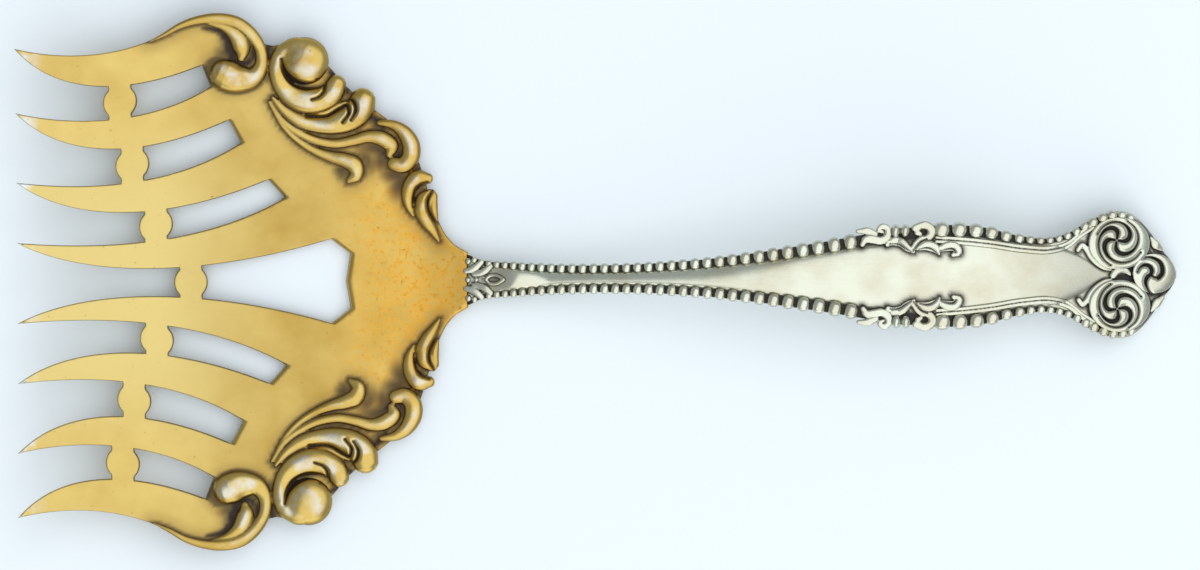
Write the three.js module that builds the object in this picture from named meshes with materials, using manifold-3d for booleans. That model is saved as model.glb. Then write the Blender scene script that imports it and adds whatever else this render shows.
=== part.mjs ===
// A silver sardine fork with a gilt head, lying face up.
//
// The head is a broad, dished plate, pierced between eight curved tines that round beads tie together.
// A scroll border is brazed to each shoulder. The handle laps over the tongue of the head at the heel, is
// edged with beads and threads, and ends in a pair of whorls.
//
// +X runs from the tines to the end of the handle, +Z is up, and the fork is alike on both sides of y = 0.
// Millimetres. The origin is on the table, under the middle of the fork.

import * as THREE from 'three';
import { mergeVertices } from 'three/addons/utils/BufferGeometryUtils.js';
import Module from 'manifold-3d';

const wasm = await Module();
wasm.setup();

// Stations along the fork
const TIP_X = -76.2;
const PALM_START_X = -34;
const PALM_END_X = -26;
const HEEL_X = -17.4;
const CREST_X = 26;
const END_X = 76.2;

// Side view: how the fork stands on the table
const TIP_RISE = 6.5;
const CREST_HEIGHT = 9;
const DISH_RADIUS = 190;
const FLAT_HALF_WIDTH = 7;

// Plate of the head
const PALM_THICKNESS = 1.5;
const TIP_THICKNESS = 0.9;
const TONGUE_LENGTH = 5.5;
const TONGUE_HALF_WIDTH = 1.2;
const TONGUE_THICKNESS = 0.8;
const HEEL_HALF_WIDTH = 3.6;
const SOLDER_GAP = 0.2;
const SHEET_MARGIN = 10;

// Shoulder, where the outer tine's edge meets the scroll border
const SHOULDER = { x: -54.4, y: 34.1 };

// Tines, from the middle outwards: y of the tip, y and width at the tie, and the ends of both edges
const TINES = [
  { tip: 5.3, waist: 3.6, width: 3.6, innerRoot: [-35.1, 5.6], outerRoot: [-41.1, 11.1] },
  { tip: 13.2, waist: 11.15, width: 3.9, innerRoot: [-43.3, 13.5], outerRoot: [-46.8, 18.4] },
  { tip: 22.3, waist: 19.5, width: 3.9, innerRoot: [-48.4, 21.4], outerRoot: [-50.7, 25.8] },
  { tip: 30.7, waist: 27.9, width: 4.2, innerRoot: [-51.8, 28.6], outerRoot: [SHOULDER.x, SHOULDER.y] },
];
const INNER_EDGE_HANDLES = [0.21, 0.59];
const OUTER_EDGE_HANDLES = [0.28, 0.67];
const ROOT_LAP = 2;

// Ties between the tines, from the middle outwards
const TIE_STATIONS = [-53.7, -58.2, -61.2, -62.7];
const TIE_RADIUS = 2.25;
const TIE_NECK_HALF_WIDTH = 1.5;

// Back of the middle slot
const SLOT_BACK_X = -33.1;
const SLOT_CORNER = [-32.5, 3.6];

// Scroll border, drawn from the shoulder. Each stroke is a run of points, each with its x towards the handle,
// its y outwards and the half width of the stroke there.
const BORDER_STROKES = {
  volute: [[-4, -1.6, 0.2], [0, -0.1, 0.55], [4.1, 0.85, 0.75], [8, -0.1, 0.95], [10.3, -3, 1.15],
    [9.8, -5.9, 1.45], [7.4, -7.1, 1.8], [5.2, -6.7, 1.7], [4.5, -5.4, 1]],
  volute_tongue: [[5.4, 0, 0.5], [7.4, -1.3, 0.9], [7.9, -2.8, 1.1], [7.6, -4.5, 0.5]],
  collar: [[13.4, -2.6, 0.8], [12, -4.7, 1], [11.9, -6.7, 1.1], [13.2, -8.9, 0.95],
    [15.2, -10.5, 1], [17.4, -11, 1.1], [19.3, -10.3, 1.3], [20.4, -8.8, 1.6], [20.3, -7.5, 1]],
  collar_leaf: [[13.4, -7.4, 0.4], [14.7, -8.9, 0.65], [16.4, -9.4, 0.75], [18, -8.8, 0.55],
    [18.2, -7.8, 0.3]],
  shoulder_scroll: [[11.7, -8.9, 0.6], [13, -10.9, 1.1], [15, -12.3, 1.25], [17.7, -12.9, 1.35],
    [20.3, -13, 1.4], [22.4, -12.6, 1.55], [23.6, -11.2, 1.7], [23.3, -9.8, 1.1]],
  scroll_leaf: [[18.3, -12.5, 0.4], [20.3, -12.1, 0.6], [21.8, -11.5, 0.6], [22.2, -10.4, 0.35]],
  upper_leaf: [[13, -11.6, 0.35], [15.6, -14.1, 0.45], [18.3, -15.2, 0.5], [21.6, -15.5, 0.55],
    [24.9, -15, 0.65], [27, -15.3, 0.85], [28.1, -16.4, 0.7], [28.3, -17.3, 0.35]],
  lower_leaf: [[12.6, -11.2, 0.35], [15, -14.5, 0.45], [17.1, -15.9, 0.55], [19.7, -16.8, 0.8],
    [22, -17.8, 1.15], [22.9, -19.2, 1.2], [22.4, -20.6, 0.7], [21.7, -21.3, 0.3]],
  waist_scroll: [[24.5, -12.7, 0.5], [27.4, -13.6, 0.75], [29.1, -14.9, 1], [30, -16.6, 1.25],
    [29.8, -18.3, 1.3], [28.5, -19, 1.1], [27.4, -18.6, 0.7]],
  heel_scroll: [[32.4, -20.3, 0.75], [30.3, -20, 1.15], [29.3, -22, 0.85], [29.3, -23.6, 0.7],
    [30.2, -25.3, 0.3]],
  tail_leaf: [[32.9, -20.8, 0.65], [32, -22.9, 0.95], [31.3, -24.5, 1.05], [31.8, -26.4, 0.95],
    [32.8, -27.8, 0.65], [33.8, -29, 0.3]],
};
const STROKE_ROOT = 0.6;
// Section of a stroke, as shares of its half width and height, above its root
const STROKE_SECTION = [[0.8, 0.65], [0, 1], [-0.8, 0.65]];
const STROKE_FOOT = 1.1;
const BORDER_RISE = 0.4;
const BORDER_ROUNDNESS = 0.95;
const BOSS = { x: 16.1, y: -4.8, radius: 3, flatten: 0.85 };
// Edge of the plate under the border, from the shoulder towards the heel
const SHOULDER_EDGE = [[4.8, 0.7], [8.4, -0.4], [10.9, -2.9], [15.6, -2.7], [18.8, -5.5], [21.4, -8.5],
  [24.6, -11.2], [28.4, -14.4], [30.4, -17.5], [31.6, -20.9], [32.6, -24.3], [33.4, -26.4],
  [34.4, -28.3], [35.5, -29.5]];

// Handle: half width at stations along it, and its section
const HANDLE_EDGE = [
  [HEEL_X, 3.4],
  [-15.4, 2.75],
  [-11, 2.35],
  [-1, 2],
  [13.4, 2.65],
  [29, 4.85],
  [37, 6.2],
  [45, 7.05],
  [50.2, 6.7],
  [55.4, 5.4],
  [58.7, 5],
  [END_X - 14.4, 5.75],
  [END_X - 11.6, 7.35],
  [END_X - 8.3, 8.4],
  [END_X - 5.7, 7.8],
  [END_X - 3.7, 5.85],
  [END_X - 1.7, 3],
  [END_X, 0.9],
];
const HEEL_THICKNESS = 2;
const RIM_THICKNESS = 1.1;
const RIM_ROUND = 0.3;
const CROWN_RISE = 1.1;
const CROWN_START_X = -14;
const CROWN_FULL_X = -10.5;
const CROWN_FADE_X = END_X - 14.2;
const CROWN_END_X = END_X - 9.7;
const CROWN_LEAST_HALF = 0.3;
const CROWN_LEAST_RISE = 0.02;
// Rounded back of the handle, as shares of its half width and rise
const CROWN_SECTION = [[1, 0], [0.8, 0.5], [0.4, 0.9], [0, 1]];

// Beaded wire along the rim: bead radius at stations along the handle, in two runs on each side
const LOWER_BEADS = [[-14, 0.55], [6, 0.56], [16, 0.69], [27, 0.86], [32.6, 0.92]];
const UPPER_BEADS = [[44.9, 0.93], [52, 0.92], [57, 0.62], [60, 0.5], [END_X - 12.2, 0.5],
  [END_X - 6.2, 0.52]];
const BEAD_PITCH_PER_RADIUS = 2.4;
const BEAD_NECK = 0.4;
const BEAD_SHOULDERS = [0.3, 0.7];
const BEAD_SECTION = [[1, 0], [0.7, 0.7], [0, 1], [-0.7, 0.7], [-1, 0]];

// Side scrolls at the widest part of the handle: strokes as [x, y, half width] from where they start
const SIDE_SCROLL_X = 34;
const SIDE_STROKES = {
  curl: [[0.4, 4.3, 0.3], [1.2, 4.75, 0.4], [3, 4.6, 0.45], [3.8, 5.2, 0.45], [3.7, 6.1, 0.4],
    [2.9, 6.2, 0.3]],
  spur: [[-0.5, 5.5, 0.25], [0.6, 5.3, 0.4], [1.4, 4.9, 0.35]],
  drop: [[3.2, 4.5, 0.35], [4.7, 4.65, 0.45], [5.6, 4.4, 0.45], [6.4, 3.5, 0.25]],
  hook: [[6.5, 3.3, 0.35], [7.6, 4.9, 0.45], [8.6, 5.1, 0.55], [9, 6, 0.6], [8, 6.5, 0.5], [7, 6.2, 0.4]],
  first_leaf: [[7.2, 4.2, 0.4], [9.3, 4.1, 0.5], [10.2, 3.4, 0.5], [10.4, 2.7, 0.25]],
  second_leaf: [[9.4, 3.7, 0.35], [11.6, 3.3, 0.45], [12.9, 2.8, 0.45], [12.5, 2, 0.25]],
};
const SIDE_BEADS = [[4.7, 5.8], [6.2, 5.8]];
const SIDE_BEAD_RADIUS = 0.9;

// Whorls and end scroll
const WHORL_INSET = 7.9;
const WHORL = { x: END_X - WHORL_INSET, y: 3.9, radius: 3.3, arms: 4, sweep: 3.6, opening: 0.8 };
const WHORL_ARM = { half: 0.52, endShare: 0.55, roundness: 0.96 };
const WHORL_EYE = { radius: 0.75, flatten: 0.7 };
const WHORL_CLEARANCE = 0.2;
const WHORL_EDGE_LEAF = [[-5, -0.6, 0.25], [-3.6, -0.8, 0.5], [-2.8, -1.9, 0.5], [-1.6, -2.9, 0.45],
  [-0.6, -3.3, 0.25]];
const END_SCROLL_SETBACK = 0.5;
const END_STROKES = {
  shell: [[4.6, 2.5, 0.35], [6.4, 2.1, 0.6], [7.3, 0.8, 0.75], [7.2, -0.8, 0.8], [6.1, -1.9, 0.85],
    [4.9, -1.5, 0.6]],
  curl: [[2.9, -0.2, 0.45], [2.9, 0.9, 0.5], [3.8, 1.7, 0.55], [5.1, 1.2, 0.55], [5.2, 0.2, 0.4]],
  foot: [[2.7, 0.1, 0.5], [3.3, -0.8, 0.55], [4, -1.9, 0.5], [5, -2.4, 0.3]],
  crescent: [[-0.8, 0, 0.3], [0.5, 0.1, 0.42], [1.9, 0, 0.4], [2.9, 0, 0.45]],
};
const CREST_RISE = 0.35;
const CREST_ROUNDNESS = 0.8;

// Thread: a flat strip with a fine reed along each edge, inside the upper beads
const THREAD_START_X = 45.6;
const THREAD_END_X = WHORL.x - 4.1;
const THREAD_HALF_WIDTH = 0.28;
const THREAD_PITCH = 0.62;
const THREAD_STRIP_RISE = 0.55;
const THREAD_ROUNDNESS = 1.6;
const THREAD_GAP = 0.12;

// Palmette over the lap at the heel: [x, y, half width] from the heel
const PALMETTE_STROKES = {
  leaf: [[1.9, 0, 0.3], [2.8, 0, 0.7], [3.7, 0, 0.75], [4.9, 0, 0.25]],
  stem: [[0.2, 0, 0.5], [0.8, 0, 0.35], [1.4, 0, 0.45], [2.2, 0, 0.35]],
  first_frond: [[0.3, 0.3, 0.35], [1, 1, 0.4], [1.5, 1.7, 0.3]],
  second_frond: [[1, 0.2, 0.35], [2, 0.9, 0.4], [2.8, 1.25, 0.25]],
};
const PALMETTE_BEAD = { x: 0.6, y: 1.75, radius: 0.6 };

// Facets
const WELD = 1e-5;
const DISH_STEP = 7.5;
const TINE_STEP = 7;
const TONGUE_STEP = 1.5;
const HANDLE_STEP = 3;
const TERMINAL_STEP = 0.9;
const THREAD_STEP = 2.6;
const EDGE_STEPS = 9;
const EDGE_SAMPLES = 60;
const SHOULDER_STEPS = 2;
const ROUND_STEPS = 16;
const STROKE_STEPS = 1.5;
const FINE_STROKE_STEPS = 1;
const ARM_STEPS = 7;
const BEAD_SIDES = 6;
const BEAD_RINGS = 4;

// Finishes
const GILT = { color: 0xd9b65a, roughness: 0.32, metalness: 1 };
const SILVER = { color: 0xc9c6b8, roughness: 0.28, metalness: 1 };

// Closed geometry to a solid that can be cut, and back
function toSolid(geometry) {
  const plain = geometry.clone();
  plain.deleteAttribute('normal');
  plain.deleteAttribute('uv');
  const welded = mergeVertices(plain, WELD);
  return new wasm.Manifold(new wasm.Mesh({
    numProp: 3,
    vertProperties: new Float32Array(welded.attributes.position.array),
    triVerts: new Uint32Array(welded.index.array),
  }));
}

function toGeometry(solid) {
  const mesh = solid.getMesh();
  const geometry = new THREE.BufferGeometry();
  const positions = new Float32Array(mesh.numVert * 3);
  for (let v = 0; v < mesh.numVert; v += 1) {
    for (let axis = 0; axis < 3; axis += 1) {
      positions[3 * v + axis] = mesh.vertProperties[mesh.numProp * v + axis];
    }
  }
  geometry.setAttribute('position', new THREE.BufferAttribute(positions, 3));
  geometry.setIndex(new THREE.BufferAttribute(new Uint32Array(mesh.triVerts), 1));
  geometry.computeVertexNormals();
  return geometry;
}

function join(solids) {
  return solids.reduce((whole, solid) => whole.add(solid));
}

function mirrored(geometry) {
  const copy = geometry.clone();
  copy.scale(1, -1, 1);
  const index = copy.index.array;
  for (let i = 0; i < index.length; i += 3) {
    [index[i], index[i + 1]] = [index[i + 1], index[i]];
  }
  copy.computeVertexNormals();
  return copy;
}

// Solid through a row of closed rings, each with the same number of points, capped at both ends
function loft(rings) {
  const sides = rings[0].length;
  const points = rings.flat();
  const faces = [];
  for (let r = 0; r + 1 < rings.length; r += 1) {
    for (let s = 0; s < sides; s += 1) {
      const next = (s + 1) % sides;
      const [a, b] = [r * sides + s, r * sides + next];
      faces.push(a, b, b + sides, a, b + sides, a + sides);
    }
  }
  const last = (rings.length - 1) * sides;
  for (let s = 1; s + 1 < sides; s += 1) {
    faces.push(0, s + 1, s, last, last + s, last + s + 1);
  }
  const geometry = new THREE.BufferGeometry().setFromPoints(points);
  geometry.setIndex(faces);
  return geometry;
}

// Value that runs smoothly through [station, value] rows
function runOf(rows) {
  const curve = new THREE.CubicInterpolant(rows.map((row) => row[0]), rows.map((row) => row[1]), 1);
  const first = rows[0][0];
  const last = rows[rows.length - 1][0];
  return (x) => curve.evaluate(THREE.MathUtils.clamp(x, first, last))[0];
}

// Height of the underside above the table, along the middle of the fork
function underside(x) {
  if (x < PALM_START_X) {
    return TIP_RISE * ((PALM_START_X - x) / (PALM_START_X - TIP_X)) ** 2;
  }
  if (x < CREST_X) {
    return CREST_HEIGHT * THREE.MathUtils.smoothstep(x, PALM_END_X, CREST_X);
  }
  return CREST_HEIGHT * (1 - ((x - CREST_X) / (END_X - CREST_X)) ** 2);
}

// Sideways rise of the dished head
function dish(y) {
  return Math.max(0, Math.abs(y) - FLAT_HALF_WIDTH) ** 2 / (2 * DISH_RADIUS);
}

function plateThickness(x) {
  const station = Math.min(x, PALM_START_X);
  return THREE.MathUtils.mapLinear(station, TIP_X, PALM_START_X, TIP_THICKNESS, PALM_THICKNESS);
}

function plateTop(x, y) {
  return underside(x) + plateThickness(x) + dish(y);
}

function range(from, to, step) {
  const count = Math.max(1, Math.round(Math.abs(to - from) / step));
  return Array.from({ length: count + 1 }, (_, i) => from + ((to - from) * i) / count);
}

// Dished sheet that the head is pierced from. Raised, it trims what is brazed to the head.
function headSheet(below, raise) {
  const outward = range(FLAT_HALF_WIDTH, SHOULDER.y + SHEET_MARGIN, DISH_STEP);
  const across = [...outward.map((y) => -y).reverse(), ...outward];
  const along = [
    ...range(TIP_X - SHEET_MARGIN, PALM_START_X, TINE_STEP),
    ...range(PALM_START_X, PALM_END_X, PALM_END_X - PALM_START_X).slice(1),
    ...range(PALM_END_X, HEEL_X + SHEET_MARGIN, HANDLE_STEP).slice(1),
  ];
  return loft(along.map((x) => [
    ...across.map((y) => new THREE.Vector3(x, y, underside(x) + dish(y) - below)),
    ...across.map((y) => new THREE.Vector3(x, y, plateTop(x, y) + raise)).reverse(),
  ]));
}

// Upright block of an outline, far taller than the fork
function prism(points) {
  const depth = END_X - TIP_X;
  const geometry = new THREE.ExtrudeGeometry(new THREE.Shape(points), { depth, bevelEnabled: false });
  return toSolid(geometry.translate(0, 0, -depth / 2));
}

// One edge of a tine: from its tip, past its waist at the tie, to its root
function tineEdge(tip, waist, root, handles) {
  // halfway, a cubic curve lies at an eighth of each end and three eighths of each handle
  const bow = (8 * waist - tip - root[1]) / 6;
  const handle = (share) => new THREE.Vector2(THREE.MathUtils.lerp(TIP_X, root[0], share), bow);
  const start = new THREE.Vector2(TIP_X, tip);
  const end = new THREE.Vector2(...root);
  return new THREE.CubicBezierCurve(start, handle(handles[0]), handle(handles[1]), end);
}

function tineEdges(tine) {
  const inner = tineEdge(tine.tip, tine.waist - tine.width / 2, tine.innerRoot, INNER_EDGE_HANDLES);
  const outer = tineEdge(tine.tip, tine.waist + tine.width / 2, tine.outerRoot, OUTER_EDGE_HANDLES);
  return { inner, outer };
}

function tineOutline(tine) {
  const { inner, outer } = tineEdges(tine);
  const root = new THREE.Vector2(...tine.innerRoot).lerp(new THREE.Vector2(...tine.outerRoot), 0.5);
  root.x += ROOT_LAP;
  return [...outer.getPoints(EDGE_STEPS), root, ...inner.getPoints(EDGE_STEPS).slice(1).reverse()];
}

// y of a tine's edge at a station
function edgeAt(edge, x) {
  const points = edge.getPoints(EDGE_SAMPLES);
  const after = points.findIndex((point) => point.x >= x);
  const [a, b] = [points[after - 1], points[after]];
  return THREE.MathUtils.mapLinear(x, a.x, b.x, a.y, b.y);
}

function circleOutline(x, y, radius) {
  return new THREE.EllipseCurve(x, y, radius, radius).getPoints(ROUND_STEPS).slice(0, -1);
}

// Round bead and straight neck between two tines
function tie(station, low, high) {
  const lap = TIE_NECK_HALF_WIDTH / 2;
  const neck = [
    [station - TIE_NECK_HALF_WIDTH, low - lap],
    [station + TIE_NECK_HALF_WIDTH, low - lap],
    [station + TIE_NECK_HALF_WIDTH, high + lap],
    [station - TIE_NECK_HALF_WIDTH, high + lap],
  ].map((corner) => new THREE.Vector2(...corner));
  return prism(circleOutline(station, (low + high) / 2, TIE_RADIUS)).add(prism(neck));
}

// Half of the palm's outline, from the back of the middle slot round the shoulder to the heel
function palmHalf() {
  const slotBack = new THREE.Vector2(SLOT_BACK_X, 0);
  const shoulder = SHOULDER_EDGE.map(([x, y]) => new THREE.Vector2(SHOULDER.x + x, SHOULDER.y + y));
  const heel = new THREE.Vector2(HEEL_X, HEEL_HALF_WIDTH);
  const outer = new THREE.SplineCurve([new THREE.Vector2(SHOULDER.x, SHOULDER.y), ...shoulder, heel]);
  return [
    slotBack,
    new THREE.Vector2(...SLOT_CORNER),
    ...TINES.flatMap((tine) => [new THREE.Vector2(...tine.innerRoot), new THREE.Vector2(...tine.outerRoot)]),
    ...outer.getPoints(SHOULDER_STEPS * SHOULDER_EDGE.length).slice(1),
  ];
}

function bothSides(half) {
  return [...half, ...half.filter((p) => p.y > 0).map((p) => new THREE.Vector2(p.x, -p.y)).reverse()];
}

function forkHead() {
  const blanks = [prism(bothSides(palmHalf()))];
  for (const tine of TINES) {
    const outline = tineOutline(tine);
    blanks.push(prism(outline));
    blanks.push(prism(outline.map((p) => new THREE.Vector2(p.x, -p.y)).reverse()));
  }
  TIE_STATIONS.forEach((station, k) => {
    const high = edgeAt(tineEdges(TINES[k]).inner, station);
    if (k === 0) {
      blanks.push(tie(station, -high, high));
    } else {
      const low = edgeAt(tineEdges(TINES[k - 1]).outer, station);
      blanks.push(tie(station, low, high), tie(station, -high, -low));
    }
  });
  return join(blanks).intersect(toSolid(headSheet(0, 0))).add(tongue(0, 0));
}

// Thin tongue behind the heel, which the handle laps over. With room round it and open below, it is the
// rebate in the underside of the handle.
function tongue(room, below) {
  const side = TONGUE_HALF_WIDTH + room;
  const rings = range(HEEL_X - ROOT_LAP, HEEL_X + TONGUE_LENGTH + room, TONGUE_STEP).map((x) => {
    const low = underside(x) + SOLDER_GAP;
    const high = low + TONGUE_THICKNESS + room;
    return [[-side, low - below], [side, low - below], [side, high], [-side, high]]
      .map(([y, z]) => new THREE.Vector3(x, y, z));
  });
  return toSolid(loft(rings));
}

// Raised stroke with a rounded back, laid along [x, y, half width] points on a surface
function stroke(rows, origin, surface, rise, roundness, stepsPerPoint = STROKE_STEPS) {
  const path = new THREE.SplineCurve(rows.map(([x, y]) => new THREE.Vector2(origin.x + x, origin.y + y)));
  const half = runOf(rows.map((row, i) => [i / (rows.length - 1), row[2]]));
  const steps = Math.round(stepsPerPoint * (rows.length - 1));
  const rings = [];
  for (let i = 0; i <= steps; i += 1) {
    const t = i / steps;
    const centre = path.getPoint(t);
    const along = path.getTangent(t);
    const h = half(t);
    const high = rise + roundness * h;
    const floor = surface(centre.x, centre.y);
    const back = STROKE_SECTION.map(([side, up]) => [side, up * high]);
    const section = [[STROKE_FOOT, -STROKE_ROOT], ...back, [-STROKE_FOOT, -STROKE_ROOT]];
    rings.push(section.map(([side, up]) => (
      new THREE.Vector3(centre.x - along.y * side * h, centre.y + along.x * side * h, floor + up)
    )));
  }
  return toSolid(loft(rings));
}

function strokes(table, origin, surface, rise, roundness, stepsPerPoint = STROKE_STEPS) {
  return Object.values(table).map((rows) => stroke(rows, origin, surface, rise, roundness, stepsPerPoint));
}

function bead(x, y, radius, surface, flatten = 1) {
  const geometry = new THREE.SphereGeometry(radius, BEAD_SIDES, BEAD_RINGS);
  geometry.rotateX(Math.PI / 2);
  geometry.scale(1, 1, flatten);
  return toSolid(geometry.translate(x, y, surface(x, y)));
}

function scrollBorder() {
  const ball = new THREE.SphereGeometry(BOSS.radius, 2 * BEAD_SIDES, 2 * BEAD_RINGS);
  ball.rotateX(Math.PI / 2);
  ball.scale(1, 1, BOSS.flatten);
  const [x, y] = [SHOULDER.x + BOSS.x, SHOULDER.y + BOSS.y];
  ball.translate(x, y, plateTop(x, y));
  const seat = [BORDER_STROKES.collar[1], [BOSS.x, BOSS.y, BOSS.radius / 2]];
  const table = { ...BORDER_STROKES, boss_seat: seat };
  const scrolls = strokes(table, SHOULDER, plateTop, BORDER_RISE, BORDER_ROUNDNESS);
  const bed = toSolid(headSheet(SHEET_MARGIN, SOLDER_GAP));
  return join([...scrolls, toSolid(ball)]).subtract(bed);
}

const handleEdge = runOf(HANDLE_EDGE);
const beadRadius = runOf([...LOWER_BEADS, ...UPPER_BEADS]);

function crownHalf(x) {
  const rim = 2 * beadRadius(x) + SOLDER_GAP;
  const fade = 1 - THREE.MathUtils.smoothstep(x, CROWN_FADE_X, CROWN_END_X);
  return Math.max(CROWN_LEAST_HALF, (handleEdge(x) - rim) * fade);
}

function crownRise(x) {
  const start = THREE.MathUtils.smoothstep(x, CROWN_START_X, CROWN_FULL_X);
  const fade = 1 - THREE.MathUtils.smoothstep(x, CROWN_FADE_X, CROWN_END_X);
  return CROWN_LEAST_RISE + CROWN_RISE * start * fade;
}

// Top of the rim, which thickens to the heel where the handle laps over the head
function rimTop(x) {
  const lapEnd = HEEL_X + TONGUE_LENGTH;
  const thin = THREE.MathUtils.smoothstep(x, lapEnd, lapEnd + TONGUE_LENGTH);
  return underside(x) + THREE.MathUtils.lerp(HEEL_THICKNESS, RIM_THICKNESS, thin);
}

function handleTop(x, y) {
  const rim = rimTop(x);
  const share = Math.min(1, Math.abs(y) / crownHalf(x));
  const k = CROWN_SECTION.findIndex((row) => row[0] <= share);
  if (k === 0) {
    return rim;
  }
  const [outer, inner] = [CROWN_SECTION[k - 1], CROWN_SECTION[k]];
  return rim + crownRise(x) * THREE.MathUtils.mapLinear(share, outer[0], inner[0], outer[1], inner[1]);
}

function handleStations() {
  return [
    ...range(HEEL_X, CROWN_FADE_X, HANDLE_STEP),
    ...range(CROWN_FADE_X, END_X, TERMINAL_STEP).slice(1),
  ];
}

function handleRing(x) {
  const w = handleEdge(x);
  const low = underside(x);
  const rim = rimTop(x);
  const crown = CROWN_SECTION.map(([side, up]) => [side * crownHalf(x), rim + up * crownRise(x)]);
  const half = [[w - RIM_ROUND, low], [w, low + RIM_ROUND], [w, rim], ...crown];
  const other = half.filter(([y]) => y > 0).map(([y, z]) => [-y, z]).reverse();
  return [...half, ...other].map(([y, z]) => new THREE.Vector3(x, y, z));
}

// The space under what is brazed to the handle, up to a solder gap above its face, and on past its end
function handleBed() {
  const wide = 2 * Math.max(...HANDLE_EDGE.map((row) => row[1]));
  const below = CREST_HEIGHT;
  const stations = [...handleStations(), END_X + WHORL.radius];
  return toSolid(loft(stations.map((x) => {
    const rim = rimTop(x) + SOLDER_GAP;
    const crownSide = crownHalf(x);
    const rise = crownRise(x);
    const crown = CROWN_SECTION.map(([side, up]) => [side * crownSide + SOLDER_GAP, rim + up * rise]);
    const half = [[wide, rim - below], [wide, rim], ...crown];
    const other = half.map(([y, z]) => [-y, z]).reverse();
    return [...half, ...other].map(([y, z]) => new THREE.Vector3(x, y, z));
  })));
}

function handle() {
  const stations = handleStations();
  stations[0] += SOLDER_GAP;
  return toSolid(loft(stations.map(handleRing))).subtract(tongue(SOLDER_GAP, HEEL_THICKNESS));
}

// A point inside the rim, square to the edge of the handle
function insideRim(x, inset) {
  const step = 0.05;
  const slope = (handleEdge(x + step) - handleEdge(x - step)) / (2 * step);
  const length = Math.hypot(1, slope);
  const normal = { x: -slope / length, y: 1 / length };
  return { x: x - inset * normal.x, y: handleEdge(x) - inset * normal.y, normal, dx: 1 / length };
}

// Beaded wire along the rim: round beads with a neck between each two, flat where they are brazed down
function beadRun(rows) {
  const rings = [];
  const ring = (x, reach, swell) => {
    const { x: px, y: py, normal } = insideRim(x, reach);
    const low = rimTop(px) + SOLDER_GAP;
    rings.push(BEAD_SECTION.map(([side, up]) => new THREE.Vector3(
      px + normal.x * side * reach * swell, py + normal.y * side * reach * swell, low + up * reach * swell)));
  };
  const end = rows[rows.length - 1][0];
  let x = rows[0][0];
  ring(x, beadRadius(x), BEAD_NECK);
  while (x < end) {
    const reach = beadRadius(x);
    const pitch = BEAD_PITCH_PER_RADIUS * reach * insideRim(x, reach).dx;
    BEAD_SHOULDERS.forEach((share) => ring(x + share * pitch, reach, 1));
    ring(x + pitch, reach, BEAD_NECK);
    x += pitch;
  }
  return toSolid(loft(rings));
}

function sideScroll(bed) {
  const origin = new THREE.Vector2(SIDE_SCROLL_X, 0);
  const beads = SIDE_BEADS.map(([x, y]) => bead(origin.x + x, y, SIDE_BEAD_RADIUS, handleTop));
  const scrolls = strokes(SIDE_STROKES, origin, handleTop, CREST_RISE, CREST_ROUNDNESS);
  return join([...scrolls, ...beads]).subtract(bed);
}

// Points along the thread, further in by an offset from its outer reed
function threadRows(offset, half) {
  return range(THREAD_START_X, THREAD_END_X, THREAD_STEP).map((x) => {
    const inset = 2 * beadRadius(x) + THREAD_GAP + THREAD_HALF_WIDTH + offset;
    const spot = insideRim(x, inset);
    return [spot.x, spot.y, half];
  });
}

function thread(bed) {
  const origin = new THREE.Vector2();
  const lay = (rows, rise, roundness) => stroke(rows, origin, handleTop, rise, roundness, FINE_STROKE_STEPS);
  const reeds = [0, THREAD_PITCH].map((offset) => (
    lay(threadRows(offset, THREAD_HALF_WIDTH), CREST_RISE, THREAD_ROUNDNESS)
  ));
  const strip = lay(threadRows(THREAD_PITCH / 2, THREAD_PITCH / 2), THREAD_STRIP_RISE, 0);
  return join([...reeds, strip]).subtract(bed);
}

// Comma-shaped arms that wind out of an eye to a ring
function whorl(bed) {
  const { x, y, radius, arms, sweep, opening } = WHORL;
  const { half, endShare, roundness } = WHORL_ARM;
  const start = WHORL_EYE.radius;
  const reach = radius - half * endShare;
  const pieces = [];
  for (let k = 0; k < arms; k += 1) {
    const rows = range(0, 1, 1 / ARM_STEPS).map((t) => {
      const angle = (2 * Math.PI * k) / arms + sweep * t;
      const r = THREE.MathUtils.lerp(start, reach, t ** opening);
      return [r * Math.cos(angle), r * Math.sin(angle), half * THREE.MathUtils.lerp(1, endShare, t)];
    });
    pieces.push(stroke(rows, WHORL, handleTop, CREST_RISE, roundness, FINE_STROKE_STEPS));
  }
  const eyeBead = bead(x, y, WHORL_EYE.radius, handleTop, WHORL_EYE.flatten);
  const edgeLeaf = stroke(WHORL_EDGE_LEAF, WHORL, handleTop, CREST_RISE, CREST_ROUNDNESS);
  return join([...pieces, eyeBead, edgeLeaf]).subtract(bed);
}

function endScroll(bed) {
  const origin = new THREE.Vector2(WHORL.x - END_SCROLL_SETBACK, 0);
  const relief = join(strokes(END_STROKES, origin, handleTop, CREST_RISE, CREST_ROUNDNESS));
  const clear = WHORL.radius + WHORL_CLEARANCE;
  const room = [WHORL.y, -WHORL.y].map((y) => prism(circleOutline(WHORL.x, y, clear)));
  return relief.subtract(bed).subtract(join(room));
}

function palmette(bed) {
  const origin = new THREE.Vector2(HEEL_X + SOLDER_GAP, 0);
  const mirror = (rows) => rows.map(([x, y, half]) => [x, -y, half]);
  const { first_frond: first, second_frond: second } = PALMETTE_STROKES;
  const table = { ...PALMETTE_STROKES, third_frond: mirror(first), fourth_frond: mirror(second) };
  const beads = [1, -1].map((side) => (
    bead(origin.x + PALMETTE_BEAD.x, side * PALMETTE_BEAD.y, PALMETTE_BEAD.radius, handleTop)
  ));
  const fronds = strokes(table, origin, handleTop, CREST_RISE, CREST_ROUNDNESS, FINE_STROKE_STEPS);
  return join([...fronds, ...beads]).subtract(bed);
}

const fork = new THREE.Group();
fork.name = 'sardine_fork';

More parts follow.
